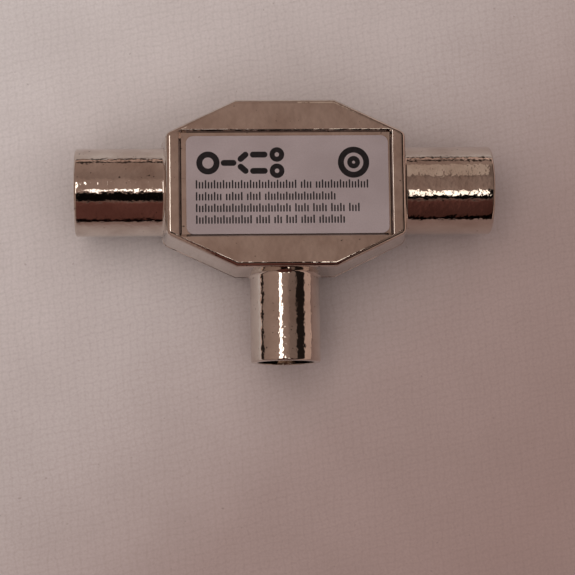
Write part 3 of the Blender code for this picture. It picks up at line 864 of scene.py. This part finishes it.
@dataclass(frozen=True)
class Casting:
    """The plated die-casting, with its edges, root fillets and mouths rounder than the CAD solid's.

    front_spread is how far the front edge stands outside the CAD solid's before it is rounded. A land is
    the flat left beside the label's recess, at its ends and corners. rim_shape and rim_flare give the
    recess's rim as offset and height, in multiples of rim_break.
    """

    length: float = 31.6 * MM
    width: float = 22.0 * MM
    thickness: float = 16.0 * MM
    end_edge_share: float = 0.6045
    side_edge_share: float = 0.4177
    draft: float = math.radians(5.5)
    front_spread: float = 0.25 * MM
    edge_roll: float = 0.65 * MM
    edge_facets: int = 10
    edge_angle: float = 42.0
    side_wall: float = 1.8 * MM
    front_wall: float = 1.9 * MM
    cavity_draft: float = math.radians(1.0)
    cavity_radius: float = 0.8 * MM
    recess_end_land: float = 1.5 * MM
    recess_corner_land: float = 0.15 * MM
    recess_depth: float = 0.45 * MM
    recess_slope: float = 0.36 * MM
    recess_corner: float = 0.35 * MM
    recess_least_corner: float = 0.05 * MM
    recess_facets: int = 8
    rim_break: float = 0.08 * MM
    rim_shape: Stops = ((-0.5, -1.0), (0.0, -0.3), (1.0, 0.0))
    rim_flare: float = 4.0
    cover_rim: float = 0.9 * MM
    cover_ledge: float = 1.1 * MM
    seam_height: float = 0.035 * MM
    seam_width: float = 0.16 * MM
    seam_crown: float = 0.4
    peg: Point = (-6.9 * MM, -5.66 * MM, 9.6 * MM)
    peg_diameter: float = 2.2 * MM
    peg_sides: int = 48
    sink: float = 0.01 * MM
    overshoot: float = 1.0 * MM
    socket: Barrel = Barrel(
        diameter=12.0 * MM,
        length=11.8 * MM,
        lip=0.35 * MM,
        bore=9.6 * MM,
        bore_depth=10.4 * MM,
        mouth=0.3 * MM,
        wall_hole=6.6 * MM,
    )
    plug: Barrel = Barrel(
        diameter=9.5 * MM,
        length=11.7 * MM,
        lip=0.28 * MM,
        bore=7.7 * MM,
        bore_depth=9.4 * MM,
        mouth=0.1 * MM,
        wall_hole=5.0 * MM,
    )

    @property
    def axis_height(self) -> float:
        """Height of the barrels' axes, which is the parting plane's."""
        return self.thickness / 2

    @property
    def swell(self) -> float:
        """How far the walls stand out at the parting plane, beyond the front face."""
        return self.axis_height * math.tan(self.draft)

    @property
    def front(self) -> float:
        """Height of the label recess's floor."""
        return self.thickness - self.recess_depth

    def barrel(self, port: Port) -> Barrel:
        """The sizes of a port's barrel."""
        return self.plug if port is Port.PLUG else self.socket

    def half_across(self, port: Port) -> float:
        """Half the front face's size along a barrel."""
        return (self.width if port is Port.PLUG else self.length) / 2

    def wall_at(self, port: Port) -> float:
        """Reach of the body's wall where a barrel leaves it."""
        return self.half_across(port) + self.swell

    def reach(self, port: Port) -> float:
        """Reach of a barrel's end."""
        return self.wall_at(port) + self.barrel(port).length

    def cavity_inset(self, height: float) -> float:
        """How far the cavity's wall stands inside the front face's outline at a height."""
        return self.side_wall + height * math.tan(self.cavity_draft)

    def cavity_at(self, port: Port) -> float:
        """Reach of the cavity's wall behind a barrel."""
        return self.half_across(port) - self.cavity_inset(self.axis_height)

    def octagon(self, grow: float) -> Profile:
        """Gives the front face's outline, moved outwards.

        Args:
            grow: How far, in metres.

        Returns:
            Its eight corners, counter-clockwise from the lower right.
        """
        end_edge = self.width * self.end_edge_share
        side_edge = self.length * self.side_edge_share
        run, rise = (self.length - side_edge) / 2, (self.width - end_edge) / 2
        slant = math.hypot(run, rise)
        normal_x, normal_y = rise / slant, run / slant
        x, y = self.length / 2 + grow, self.width / 2 + grow
        end = end_edge / 2 + grow * (1 - normal_x) / normal_y
        side = side_edge / 2 + grow * (1 - normal_y) / normal_x
        right = [(side, -y), (x, -end), (x, end), (side, y)]
        return right + [(-px, -py) for px, py in right]

    def octagon_solid(self, name: str, levels: Profile) -> Piece:
        """Makes a named solid through octagons, from each one's height and outward offset."""
        return skinned(name, [[(x, y, z) for x, y in self.octagon(grow)] for z, grow in levels])

    def recess_half_size(self) -> Pair:
        """Gives half the recess's length and width, its corners just inside the slanting edges.

        Returns:
            Both halves.
        """
        x = self.length / 2 - self.recess_end_land
        (x_low, y_low), (x_high, y_high) = self.octagon(-self.recess_corner_land)[2:4]
        return x, y_low + (y_high - y_low) * (x_low - x) / (x_low - x_high)

    def recess_cutter(self) -> Piece:
        """Makes the recess's cutter: sloping walls, rounded corners and a softened rim.

        Returns:
            The cutter.
        """
        half_length, half_width = self.recess_half_size()
        rim, top = self.rim_break, self.thickness
        steps = [(-self.recess_slope, self.front)]
        steps += [(rim * out, top + rim * up) for out, up in self.rim_shape]
        steps += [(rim * self.rim_flare, top + self.overshoot)]
        rings = []
        for grow, height in steps:
            radius = max(self.recess_corner + grow, self.recess_least_corner)
            x, y = half_length + grow - radius, half_width + grow - radius
            rings.append([(*point, height) for point in rounded_box(x, y, radius, self.recess_facets)])
        return skinned("recess_cutter", rings)

    def barrel_skin(self, port: Port) -> Piece:
        """Makes the outside of a barrel, its root fillet following the sloping wall.

        Args:
            port: Which barrel.

        Returns:
            The skin, a closed solid.
        """
        sizes, wall_at, end = self.barrel(port), self.wall_at(port), self.reach(port)
        radius = sizes.diameter / 2
        side = port.direction.cross(Vector((0, 0, 1)))

        def ring(ring_radius: float, reach_at: Callable[[float], float]) -> list[Vector]:
            """Gives a ring round the barrel, whose reach depends on the height above the axis.

            Args:
                ring_radius: The ring's radius.
                reach_at: The reach at a height above the axis.

            Returns:
                The ring's points.
            """
            points = []
            for i in range(sizes.sides):
                turn = math.tau * i / sizes.sides
                rise, across = ring_radius * math.cos(turn), ring_radius * math.sin(turn)
                lift = Vector((0, 0, self.axis_height + rise))
                points.append(port.direction * reach_at(rise) + lift + side * across)
            return points

        def wall(rise: float) -> float:
            """Gives the reach of the sloping wall at a height above the axis."""
            return wall_at - abs(rise) * math.tan(self.draft) - self.sink

        rings = [ring(radius + sizes.fillet, lambda rise: wall(rise) - self.overshoot)]
        for i in range(sizes.fillet_facets + 1):
            turn = math.pi / 2 * i / sizes.fillet_facets
            out, up = sizes.fillet * (1 - math.sin(turn)), sizes.fillet * (1 - math.cos(turn))
            rings.append(ring(radius + out, lambda rise, up=up: wall(rise) + up))
        start, straight = wall_at + sizes.fillet, end - sizes.lip - wall_at - sizes.fillet
        for i in range(1, sizes.length_facets):
            reach = start + straight * i / sizes.length_facets
            rings.append(ring(radius, lambda rise, reach=reach: reach))
        lip = ease((0.0, end - sizes.lip), (sizes.lip, end), outward=False, steps=sizes.lip_facets)
        for drop, height in lip:
            rings.append(ring(radius - drop, lambda rise, height=height: height))
        return skinned(port.label + "_skin", rings)

    def bore_cutter(self, port: Port) -> Piece:
        """Makes the stepped hole through a barrel, its mouth rounded.

        Args:
            port: Which barrel.

        Returns:
            The cutter.
        """
        sizes, end = self.barrel(port), self.reach(port)
        radius, hole, floor = sizes.bore / 2, sizes.wall_hole / 2, end - sizes.bore_depth
        through = self.cavity_at(port) - self.overshoot
        lip = ease((radius + sizes.mouth, end), (radius, end - sizes.mouth), True, sizes.mouth_facets)
        profile = [(0, end + self.overshoot), (radius + sizes.mouth, end + self.overshoot), *lip]
        profile += [(radius, floor), (hole, floor), (hole, through), (0, through)]
        solid = port.lay(turn_profile(profile, sizes.sides), self.axis_height)
        return make_object(port.label + "_cutter", solid)

    def peg_solid(self) -> Piece:
        """Makes the earth peg on the cavity's roof, its foot sunk into the front wall.

        Returns:
            The peg.
        """
        x, y, end = self.peg
        foot = self.thickness - self.front_wall * 2 / 3
        radius = self.peg_diameter / 2
        wide = radius + (foot - end) * math.tan(self.cavity_draft)
        bm = turn_profile([(0, foot), (wide, foot), (radius, end), (0, end)], self.peg_sides)
        bmesh.ops.translate(bm, vec=(x, y, 0), verts=bm.verts)
        return make_object("peg_solid", bm)

    def body_levels(self) -> Profile:
        """Gives the body's walls from the back face to the front face, with the seam where the die parts.

        Returns:
            Each height with its outward offset.
        """
        middle, half = self.axis_height, self.seam_width / 2
        crown, shoulder = self.swell + self.seam_height, self.swell - half * math.tan(self.draft)
        levels = [(0.0, 0.0), (middle - half, shoulder), (middle - half * self.seam_crown, crown)]
        levels += [(middle + half * self.seam_crown, crown), (middle + half, shoulder)]
        return levels + [(self.thickness, self.front_spread)]

    def build(self) -> None:
        """Builds and dresses the casting."""
        casting = self.octagon_solid("splitter_casting", self.body_levels())
        round_edges(casting, self.edge_roll, self.edge_facets, self.edge_angle)
        for port in Port:
            carve(casting, self.barrel_skin(port), "UNION")
        inner = [(z, -self.cavity_inset(z)) for z in (-self.overshoot, self.thickness - self.front_wall)]
        cavity = self.octagon_solid("cavity_cutter", inner)
        round_edges(cavity, self.cavity_radius, 4)
        carve(casting, cavity)
        ledge = [(-self.overshoot, -self.cover_rim), (self.cover_ledge, -self.cover_rim)]
        carve(casting, self.octagon_solid("ledge_cutter", ledge))
        carve(casting, self.recess_cutter())
        for port in Port:
            carve(casting, self.bore_cutter(port))
        carve(casting, self.peg_solid(), "UNION")
        settle(casting)
        hand_over(smooth(casting), NickelPlate("nickel_plate_over_zinc"), "nickel_plate", "housing")


@dataclass(frozen=True)
class Label:
    """The stuck-on film label and its generic print: rows of small ticks, and two simple symbols.

    A symbol's places are measured from the middle of its largest ring, and row_words counts the ticks in
    each group of a row.
    """

    casting: Casting
    end_margin: float = 0.42 * MM
    side_margin: float = 0.22 * MM
    corner: float = 1.0 * MM
    shift: Pair = (0.2 * MM, -0.25 * MM)
    top: float = 0.24 * MM
    thickness: float = 0.2 * MM
    edge_roll: float = 0.04 * MM
    roll_share: float = 0.3
    corner_facets: int = 12
    bar_facets: int = 8
    ring_facets: int = 24
    ink: float = 0.01 * MM
    ink_sink: float = 0.002 * MM
    row_bases: tuple[float, ...] = (-0.4 * MM, -2.0 * MM, -3.57 * MM, -5.13 * MM)
    row_words: tuple[tuple[int, ...], ...] = (
        (34, 4, 18),
        (9, 6, 5, 24),
        (32, 5, 5, 5, 4),
        (19, 5, 3, 4, 5, 9),
    )
    row_left: float = -12.15 * MM
    tick_pitch: float = 0.4 * MM
    tick_width: float = 0.2 * MM
    tick_heights: tuple[float, ...] = (0.95 * MM, 0.7 * MM, 0.7 * MM)
    stroke: float = 0.8 * MM
    splitter_at: Pair = (-10.6 * MM, 2.95 * MM)
    inlet_radius: float = 1.55 * MM
    stem: Pair = (2.1 * MM, 3.4 * MM)
    fork: tuple[Pair, Pair] = ((4.35 * MM, 0.52 * MM), (5.0 * MM, 1.1 * MM))
    branch: Pair = (6.0 * MM, 7.55 * MM)
    outlet: float = 9.2 * MM
    outlet_radii: Pair = (0.98 * MM, 0.3 * MM)
    connector_at: Pair = (8.85 * MM, 2.95 * MM)
    collar_radius: float = 2.1 * MM
    contact_radii: Pair = (0.85 * MM, 0.2 * MM)

    @property
    def surface(self) -> float:
        """Height of the label's face."""
        return self.casting.front + self.top

    def at(self, outline: Sequence[Pair], height: float) -> list[Point]:
        """Places an outline, drawn from the label's centre, at a height."""
        return [(self.shift[0] + x, self.shift[1] + y, height) for x, y in outline]

    def film(self) -> Piece:
        """Makes the film, its cut edge slightly rolled over.

        Returns:
            The film.
        """
        half_length, half_width = self.casting.recess_half_size()
        x = half_length - self.casting.recess_slope - self.end_margin - self.corner
        y = half_width - self.casting.recess_slope - self.side_margin - self.corner
        roll, part, top = self.edge_roll, self.edge_roll * self.roll_share, self.surface
        rings = []
        steps = ((0.0, top - self.thickness), (0.0, top - roll), (part, top - part), (roll, top))
        for inset, height in steps:
            box = rounded_box(x, y, self.corner - inset, self.corner_facets)
            rings.append(self.at(box, height))
        return skinned("label_film", rings)

    def slab(self, bm: Mesh, outline: Sequence[Pair]) -> None:
        """Adds a thin slab of ink, from its corners around the label's centre."""
        skin(bm, [self.at(outline, self.surface - self.ink_sink), self.at(outline, self.surface + self.ink)])

    def bar(self, bm: Mesh, ends: Sequence[Pair], width: float) -> None:
        """Adds a straight bar with round ends.

        Args:
            bm: The print's mesh.
            ends: The two ends of its centreline.
            width: How wide it is.
        """
        (x0, y0), (x1, y1) = ends
        heading = math.atan2(y1 - y0, x1 - x0)
        outline = sweep((x1, y1), width / 2, heading - math.pi / 2, math.pi, self.bar_facets)
        outline += sweep((x0, y0), width / 2, heading + math.pi / 2, math.pi, self.bar_facets)
        self.slab(bm, outline)

    def ring(self, bm: Mesh, centre: Pair, outer: float, inner: float) -> None:
        """Adds a ring, as two half rings that meet.

        Args:
            bm: The print's mesh.
            centre: Its centre.
            outer: Its outer radius.
            inner: Its inner radius.
        """
        for begin in (0.0, math.pi):
            back = sweep(centre, inner, begin, math.pi, self.ring_facets)
            self.slab(bm, sweep(centre, outer, begin, math.pi, self.ring_facets) + back[::-1])

    def row(self, bm: Mesh, base: float, words: Sequence[int]) -> None:
        """Adds a row of upright ticks in groups, like the ticks of a ruler.

        Args:
            bm: The print's mesh.
            base: The height of the ticks' feet on the label.
            words: How many ticks each group has.
        """
        place = 0
        for word in words:
            for number in range(place, place + word):
                x = self.row_left + number * self.tick_pitch
                high = base + self.tick_heights[number % len(self.tick_heights)]
                self.bar(bm, [(x, base), (x, high)], self.tick_width)
            place += word + 1

    def splitter_symbol(self, bm: Mesh) -> None:
        """Draws a splitter's circuit symbol: a ring, a stem, and a fork to two small rings.

        Args:
            bm: The print's mesh.
        """
        x, y = self.splitter_at
        self.ring(bm, (x, y), self.inlet_radius, self.inlet_radius - self.stroke)
        self.bar(bm, [(x + end, y) for end in self.stem], self.stroke)
        for side in (-1, 1):
            rise = y + side * self.fork[1][1]
            self.bar(bm, [(x + along, y + side * up) for along, up in self.fork], self.stroke)
            self.bar(bm, [(x + end, rise) for end in self.branch], self.stroke)
            self.ring(bm, (x + self.outlet, rise), *self.outlet_radii)

    def printing(self) -> Piece:
        """Makes the print: four rows of small ticks, a splitter's circuit symbol and a connector's face.

        Returns:
            The print.
        """
        bm = bmesh.new()
        for base, words in zip(self.row_bases, self.row_words):
            self.row(bm, base, words)
        self.splitter_symbol(bm)
        self.ring(bm, self.connector_at, self.collar_radius, self.collar_radius - self.stroke)
        self.ring(bm, self.connector_at, *self.contact_radii)
        return make_object("label_print", bm)

    def build(self) -> None:
        """Builds and dresses the film and its print."""
        hand_over(smooth(self.film()), LabelFilm("silver_polyester_film"), "label_film", "front_label")
        hand_over(self.printing(), PrintInk("screen_printing_ink"), "label_film")


@dataclass(frozen=True)
class Fitting:
    """The insulator and the metal contact in one barrel.

    groove is the ring groove in the insulator's face: half its width at the face and at its floor, and
    its depth.
    """

    casting: Casting
    port: Port
    disc: float = 1.8 * MM
    hub_diameter: float = 5.4 * MM
    hub: float = 1.2 * MM
    proud: float = 0.5 * MM
    soft_edge: float = 0.12 * MM
    groove: Point = (0.2 * MM, 0.12 * MM, 0.1 * MM)
    stem_diameter: float = 1.7 * MM
    tail: float = 1.5 * MM
    tail_chamfer: float = 0.1 * MM
    cup_diameter: float = 1.0 * MM
    cup_depth: float = 0.7 * MM
    sleeve_diameter: float = 3.6 * MM
    sleeve_bore: float = 2.5 * MM
    sleeve_floor: float = 1.0 * MM
    sleeve_recess: float = 1.0 * MM
    sleeve_edge: float = 0.2 * MM
    slot_width: float = 0.45 * MM
    slot_length: float = 4.4 * MM
    saw_span: float = 6.0 * MM
    pin_diameter: float = 2.4 * MM
    pin_recess: float = 0.4 * MM
    pin_tip_share: float = 0.2
    gap: float = 0.1 * MM
    sides: int = 96
    edge_facets: int = 4
    nose_facets: int = 12

    @property
    def back(self) -> float:
        """Reach of the insulator's back, against the bore's shoulder."""
        return self.casting.reach(self.port) - self.casting.barrel(self.port).bore_depth + self.gap

    @property
    def tail_end(self) -> float:
        """Reach of the end of the contact's tail, in the cavity."""
        return self.casting.cavity_at(self.port) - self.proud - self.tail

    @property
    def foot(self) -> float:
        """Reach of the contact's foot, against the insulator's hub."""
        return self.back + self.disc + self.hub + self.gap

    def turned(self, name: str, profile: Profile, ring: bool = False) -> Piece:
        """Makes an object, its name after the port's, of a profile turned about the barrel's axis."""
        solid = self.port.lay(turn_profile(profile, self.sides, ring), self.casting.axis_height)
        return make_object(f"{self.port.label}_{name}", solid)

    def insulator(self) -> Piece:
        """Makes the insulator: disc, raised hub and spigot, with moulded edges and a shallow ring groove.

        Returns:
            The insulator.
        """
        sizes = self.casting.barrel(self.port)
        disc, hub, wide = sizes.bore / 2 - self.gap, self.hub_diameter / 2, sizes.wall_hole / 2 - self.gap
        inner, front, soft = self.stem_diameter / 2 + self.gap, self.back + self.disc, self.soft_edge
        spigot = self.casting.cavity_at(self.port) - self.proud
        face = front + self.hub
        middle = (hub + disc) / 2
        at_face, at_floor, depth = self.groove
        profile = ease((hub - soft, face), (hub, face - soft), True, self.edge_facets)
        profile += [(hub, front), (middle - at_face, front), (middle - at_floor, front - depth)]
        profile += [(middle + at_floor, front - depth), (middle + at_face, front)]
        profile += ease((disc - soft, front), (disc, front - soft), True, self.edge_facets)
        profile += [(disc, self.back), (wide, self.back), (wide, spigot), (inner, spigot)]
        profile += [(inner, face - soft * 0.5), (inner + soft * 0.5, face)]
        return self.turned("moulding", profile, ring=True)

    def tail_profile(self) -> Profile:
        """Gives the contact's profile from its foot to its solder cup.

        Returns:
            Radius and reach of each point.
        """
        stem, cup, chamfer = self.stem_diameter / 2, self.cup_diameter / 2, self.tail_chamfer
        end = self.tail_end
        floor = end + self.cup_depth
        outside = [(stem, self.foot), (stem, end + chamfer), (stem - chamfer, end)]
        return outside + [(cup, end), (cup, floor), (0, floor)]

    def sleeve(self) -> Piece:
        """Makes the slotted sleeve, its mouth opened to lead a pin in.

        Returns:
            The sleeve.
        """
        front = self.casting.reach(self.port) - self.sleeve_recess
        outer, inner, edge = self.sleeve_diameter / 2, self.sleeve_bore / 2, self.sleeve_edge
        floor = self.foot + self.sleeve_floor
        profile = [(0, floor), (inner, floor)]
        profile += ease((inner, front - edge), (inner + edge, front), False, self.edge_facets)
        profile += ease((outer - edge, front), (outer, front - edge), True, self.edge_facets)
        profile += [(outer, self.foot), *self.tail_profile()]
        sleeve = self.turned("sleeve", profile)
        length = self.slot_length + self.casting.overshoot
        cuts = ((self.slot_width, self.saw_span), (self.saw_span, self.slot_width))
        for number, (across, up) in enumerate(cuts):
            bm = bmesh.new()
            bmesh.ops.create_cube(bm, size=1.0)
            bmesh.ops.scale(bm, vec=(up, across, length), verts=bm.verts)
            bmesh.ops.translate(bm, vec=(0, 0, front - self.slot_length + length / 2), verts=bm.verts)
            carve(sleeve, make_object(f"saw_{number}", self.port.lay(bm, self.casting.axis_height)))
        return settle(sleeve)

    def pin(self) -> Piece:
        """Makes the plug's solid pin with its round nose.

        Returns:
            The pin.
        """
        tip = self.casting.reach(self.port) - self.pin_recess
        radius = self.pin_diameter / 2
        nose = ease((radius * self.pin_tip_share, tip), (radius, tip - radius), True, self.nose_facets)
        return self.turned("centre_pin", [(0, tip), *nose, (radius, self.foot), *self.tail_profile()])

    def build(self) -> None:
        """Builds and dresses both pieces."""
        label = self.port.label
        plastic = MouldedPolystyrene("moulded_polystyrene")
        hand_over(smooth(self.insulator()), plastic, "white_plastic", f"{label}_insulator")
        if self.port is Port.PLUG:
            contact, brass, node = self.pin(), TurnedBrass("turned_brass_y", axis="Y"), "plug_pin"
        else:
            contact, brass, node = self.sleeve(), TurnedBrass("turned_brass_x"), f"{label}_contact"
        hand_over(smooth(contact), brass, "contact_brass", node)


class InnerPiece(Enum):
    """The CAD solids that keep their shape, with the finish each takes."""

    REAR_COVER = (StampedPlate("nickel_plated_sheet_steel"), ("rear_cover",))
    CORES = (FiredFerrite("fired_ferrite"), ("matching_core", "hybrid_core"))
    WINDINGS = (EnamelledCopper("enamelled_copper_wire"), ("matching_winding", "hybrid_winding"))
    LEADS = (
        TinnedMetal("tinned_copper_wire"),
        ("left_resistor_lead", "right_resistor_lead", "live_capacitor_lead", "earth_capacitor_lead"),
    )
    JOINTS = (
        TinnedMetal("tin_solder", colour="#C9C9C7", shade=Veil("#9C9C9A"), polish=(0.14, 0.34)),
        tuple(f"{place}_solder_joint" for place in ("left", "right", "plug", "centre", "earth")),
    )
    RESISTOR = (DippedLacquer("resistor_lacquer"), ("balancing_resistor",))
    CAPACITOR = (
        DippedLacquer("capacitor_dip_coating", colour="#C08743", shade=Veil("#A26C2E")),
        ("compensation_capacitor",),
    )

    def dress(self) -> None:
        """Gives each of its nodes the finish."""
        finish, nodes = self.value
        for name in nodes:
            finish.dress(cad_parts[name])
            log.info("dressed %s", name)


# The studio


@dataclass(frozen=True)
class SoftLamp:
    """A rectangular soft lamp, given by how bright its face is, and whether bright metal mirrors it."""

    name: str
    place: Point
    aim: Point
    size: Pair
    glow: float
    colour: str = "#FFFFFF"
    mirrored: bool = True

    def build(self) -> None:
        """Hangs the lamp."""
        data = bpy.data.lights.new(self.name, "AREA")
        data.shape = "RECTANGLE"
        data.size, data.size_y = self.size
        data.energy = self.glow * math.pi * self.size[0] * self.size[1]
        data.color = linear(self.colour)[:3]
        lamp = bpy.data.objects.new(self.name, data)
        lamp.location = self.place
        lamp.visible_glossy = self.mirrored
        lamp.rotation_euler = (Vector(self.place) - Vector(self.aim)).to_track_quat("Z", "Y").to_euler()
        bpy.context.scene.collection.objects.link(lamp)
        log.info("hung %s", self.name)


@dataclass(frozen=True)
class Studio:
    """A pale table in a quiet warm room, with soft lamps overhead and to the upper left.

    Bright plating shows only what it mirrors, so the room's brightness is painted by direction. room_x
    and room_y give it by how far a direction leans from straight up, to the right and to the far side, in
    degrees. Towards the viewer the room's colour turns from room to near, where that lean, counted from
    0 to 1, falls through near_from. Directions that point sideways by more than aside are kept from the
    dark bands of room_y, and those that point far ahead by more than beyond from room_x's. Below the
    horizon the room is as pale as the table.
    """

    table_half: float = 1.2
    room: str = "#9A8278"
    near: str = "#84534A"
    pale: str = "#B5A8A2"
    room_x: Stops = (
        (-90, 1.7), (-87.5, 1.7), (-86.5, 0.06), (-80, 0.06), (-78, 0.9), (-28, 1.15), (-5, 1.1), (1, 1.04),
        (7, 0.9), (13, 0.66), (33, 0.6), (36, 0.05), (62, 0.05), (66, 1.7), (90, 1.7),
    )
    room_y: Stops = (
        (-90, 0.02), (-83, 0.02), (-79, 0.45), (-40, 0.5), (-32, 0.65), (-29, 0.01), (-9, 0.01), (-7, 1.15),
        (0, 1.1), (3, 1.02), (26, 1.0), (29, 0.8), (50, 0.9), (75, 1.0), (76.5, 0.1), (80.5, 0.1), (82, 1.6),
        (86.5, 1.6), (87.5, 0.04),
    )
    brightest: float = 2.0
    near_from: Pair = (0.3, 0.34)
    aside: Pair = (0.25, 0.34)
    beyond: Pair = (0.82, 0.9)
    horizon: Pair = (-0.02, 0.0)
    lamps: tuple[SoftLamp, ...] = (
        SoftLamp("ceiling_strip", (-0.037, -0.03, 0.6), (-0.037, -0.03, 0.0), (0.05, 0.05), 2.4, "#FFFAF4"),
        SoftLamp("side_strip", (0.1, -0.155, 0.6), (0.1, -0.155, 0.0), (0.062, 0.13), 2.4, "#FFF2E6"),
        SoftLamp("ceiling_panel", (-0.172, 0.06, 0.6), (0.0, 0.0, 0.0), (0.31, 0.09), 3.5, "#FFFAF4"),
        SoftLamp("far_wall", (0.122, 0.568, 0.52), (0.122, 0.0, 0.0), (0.085, 0.45), 0.33, "#F0DCCB"),
        SoftLamp("bounced_sky", (-0.1, -0.04, 0.7), (0.0, 0.0, 0.0), (1.2, 1.2), 1.6, "#F6F7FF", False),
    )

    def table(self) -> None:
        """Lays the table under the splitter."""
        bm = bmesh.new()
        bmesh.ops.create_grid(bm, x_segments=8, y_segments=8, size=self.table_half)
        table = make_object("table_top", bm)
        TablePaper("embossed_paper_with_painted_shade").dress(table)

    def level(self, tree: Tree, lean: Socket, stops: Stops) -> Socket:
        """Adds brightness that depends on how far a direction leans from straight up.

        Args:
            tree: The world's node tree.
            lean: The lean from -90 to 90 degrees, as 0 to 1.
            stops: Leans in degrees, each with its level.

        Returns:
            The level.
        """
        ramp = add_node(tree, "ShaderNodeValToRGB", inputs={0: lean})
        set_ramp(ramp, [((angle + 90) / 180, level / self.brightest) for angle, level in stops])
        inputs = {0: ramp.outputs[0], 1: (self.brightest,) * 3}
        return add_node(tree, "ShaderNodeVectorMath", {"operation": "MULTIPLY"}, inputs).outputs[0]

    def surroundings(self) -> None:
        """Paints the room by direction, in the scene's world."""
        world = bpy.data.worlds.new("quiet_room")
        bpy.context.scene.world = world
        world.use_nodes = True
        tree = world.node_tree
        tree.nodes.clear()
        ray = add_node(tree, "ShaderNodeTexCoord").outputs["Generated"]
        x, y, z = add_node(tree, "ShaderNodeSeparateXYZ", inputs={0: ray}).outputs
        leans = []
        for part in (x, y):
            lean = add_node(tree, "ShaderNodeMath", {"operation": "ARCTAN2"}, {0: part, 1: z}).outputs[0]
            inputs = {"Value": lean, "From Min": -math.pi / 2, "From Max": math.pi / 2}
            leans.append(add_node(tree, "ShaderNodeMapRange", inputs=inputs).outputs[0])
        sideways = add_node(tree, "ShaderNodeMath", {"operation": "ABSOLUTE"}, {0: x}).outputs[0]
        shares = []
        for value, (start, end), (first, last) in (
            (sideways, self.aside, (0.0, 1.0)),
            (y, self.beyond, (0.0, 1.0)),
            (leans[1], self.near_from, (1.0, 0.0)),
            (z, self.horizon, (1.0, 0.0)),
        ):
            inputs = {"Value": value, "From Min": start, "From Max": end, "To Min": first, "To Max": last}
            shares.append(add_node(tree, "ShaderNodeMapRange", inputs=inputs).outputs[0])
        aside, beyond, towards, below = shares
        inputs = {0: towards, 1: aside}
        nearness = add_node(tree, "ShaderNodeMath", {"operation": "SUBTRACT", "use_clamp": True}, inputs)
        inputs = {0: nearness.outputs[0], 1: linear(self.room), 2: linear(self.near)}
        room = add_node(tree, "ShaderNodeMixRGB", inputs=inputs)
        for lean, stops, least in ((leans[0], self.room_x, beyond), (leans[1], self.room_y, aside)):
            inputs = {0: self.level(tree, lean, stops), 1: least}
            level = add_node(tree, "ShaderNodeVectorMath", {"operation": "MAXIMUM"}, inputs)
            inputs = {0: room.outputs[0], 1: level.outputs[0]}
            room = add_node(tree, "ShaderNodeVectorMath", {"operation": "MULTIPLY"}, inputs)
        inputs = {0: below, 1: room.outputs[0], 2: linear(self.pale)}
        colour = add_node(tree, "ShaderNodeMixRGB", inputs=inputs)
        back = add_node(tree, "ShaderNodeBackground", inputs={"Color": colour.outputs[0], "Strength": 1.0})
        add_node(tree, "ShaderNodeOutputWorld", inputs={"Surface": back.outputs[0]})

    def build(self) -> None:
        """Builds the table, the room and the lamps."""
        self.table()
        self.surroundings()
        for lamp in self.lamps:
            lamp.build()
        bpy.context.scene.view_settings.view_transform = "Standard"


@dataclass(frozen=True)
class Viewpoint:
    """The photograph's camera: nearly overhead, a little left of the splitter and on the plug's side."""

    place: Point = (-14.7 * MM, -46.0 * MM, 298.0 * MM)
    turns: tuple[tuple[str, float], ...] = (("Z", -0.50), ("X", 6.48), ("Y", -2.90))
    focal_pixels: float = 2146.0
    frame_pixels: float = 575.0
    sensor_width: float = 36.0
    clip: Pair = (0.01, 20.0)

    def build(self) -> None:
        """Sets up the scene's camera."""
        data = bpy.data.cameras.new("photograph")
        data.sensor_width = self.sensor_width
        data.lens = self.focal_pixels / self.frame_pixels * self.sensor_width
        data.clip_start, data.clip_end = self.clip
        camera = bpy.data.objects.new("photograph", data)
        turn = Matrix.Identity(3)
        for axis, degrees in self.turns:
            turn = turn @ Matrix.Rotation(math.radians(degrees), 3, axis)
        camera.matrix_world = Matrix.Translation(self.place) @ turn.to_4x4()
        bpy.context.scene.collection.objects.link(camera)
        bpy.context.scene.camera = camera


def main() -> None:
    """Builds the splitter, the studio and the camera."""
    logging.basicConfig(level=logging.INFO, format="%(name)s: %(message)s")
    casting = Casting()
    casting.build()
    Label(casting).build()
    Fitting(casting, Port.LEFT).build()
    Fitting(casting, Port.RIGHT).build()
    Fitting(casting, Port.PLUG, hub_diameter=4.32 * MM, hub=0.6 * MM).build()
    for piece in InnerPiece:
        piece.dress()
    Studio().build()
    Viewpoint().build()


if __name__ == "__main__":
    main()
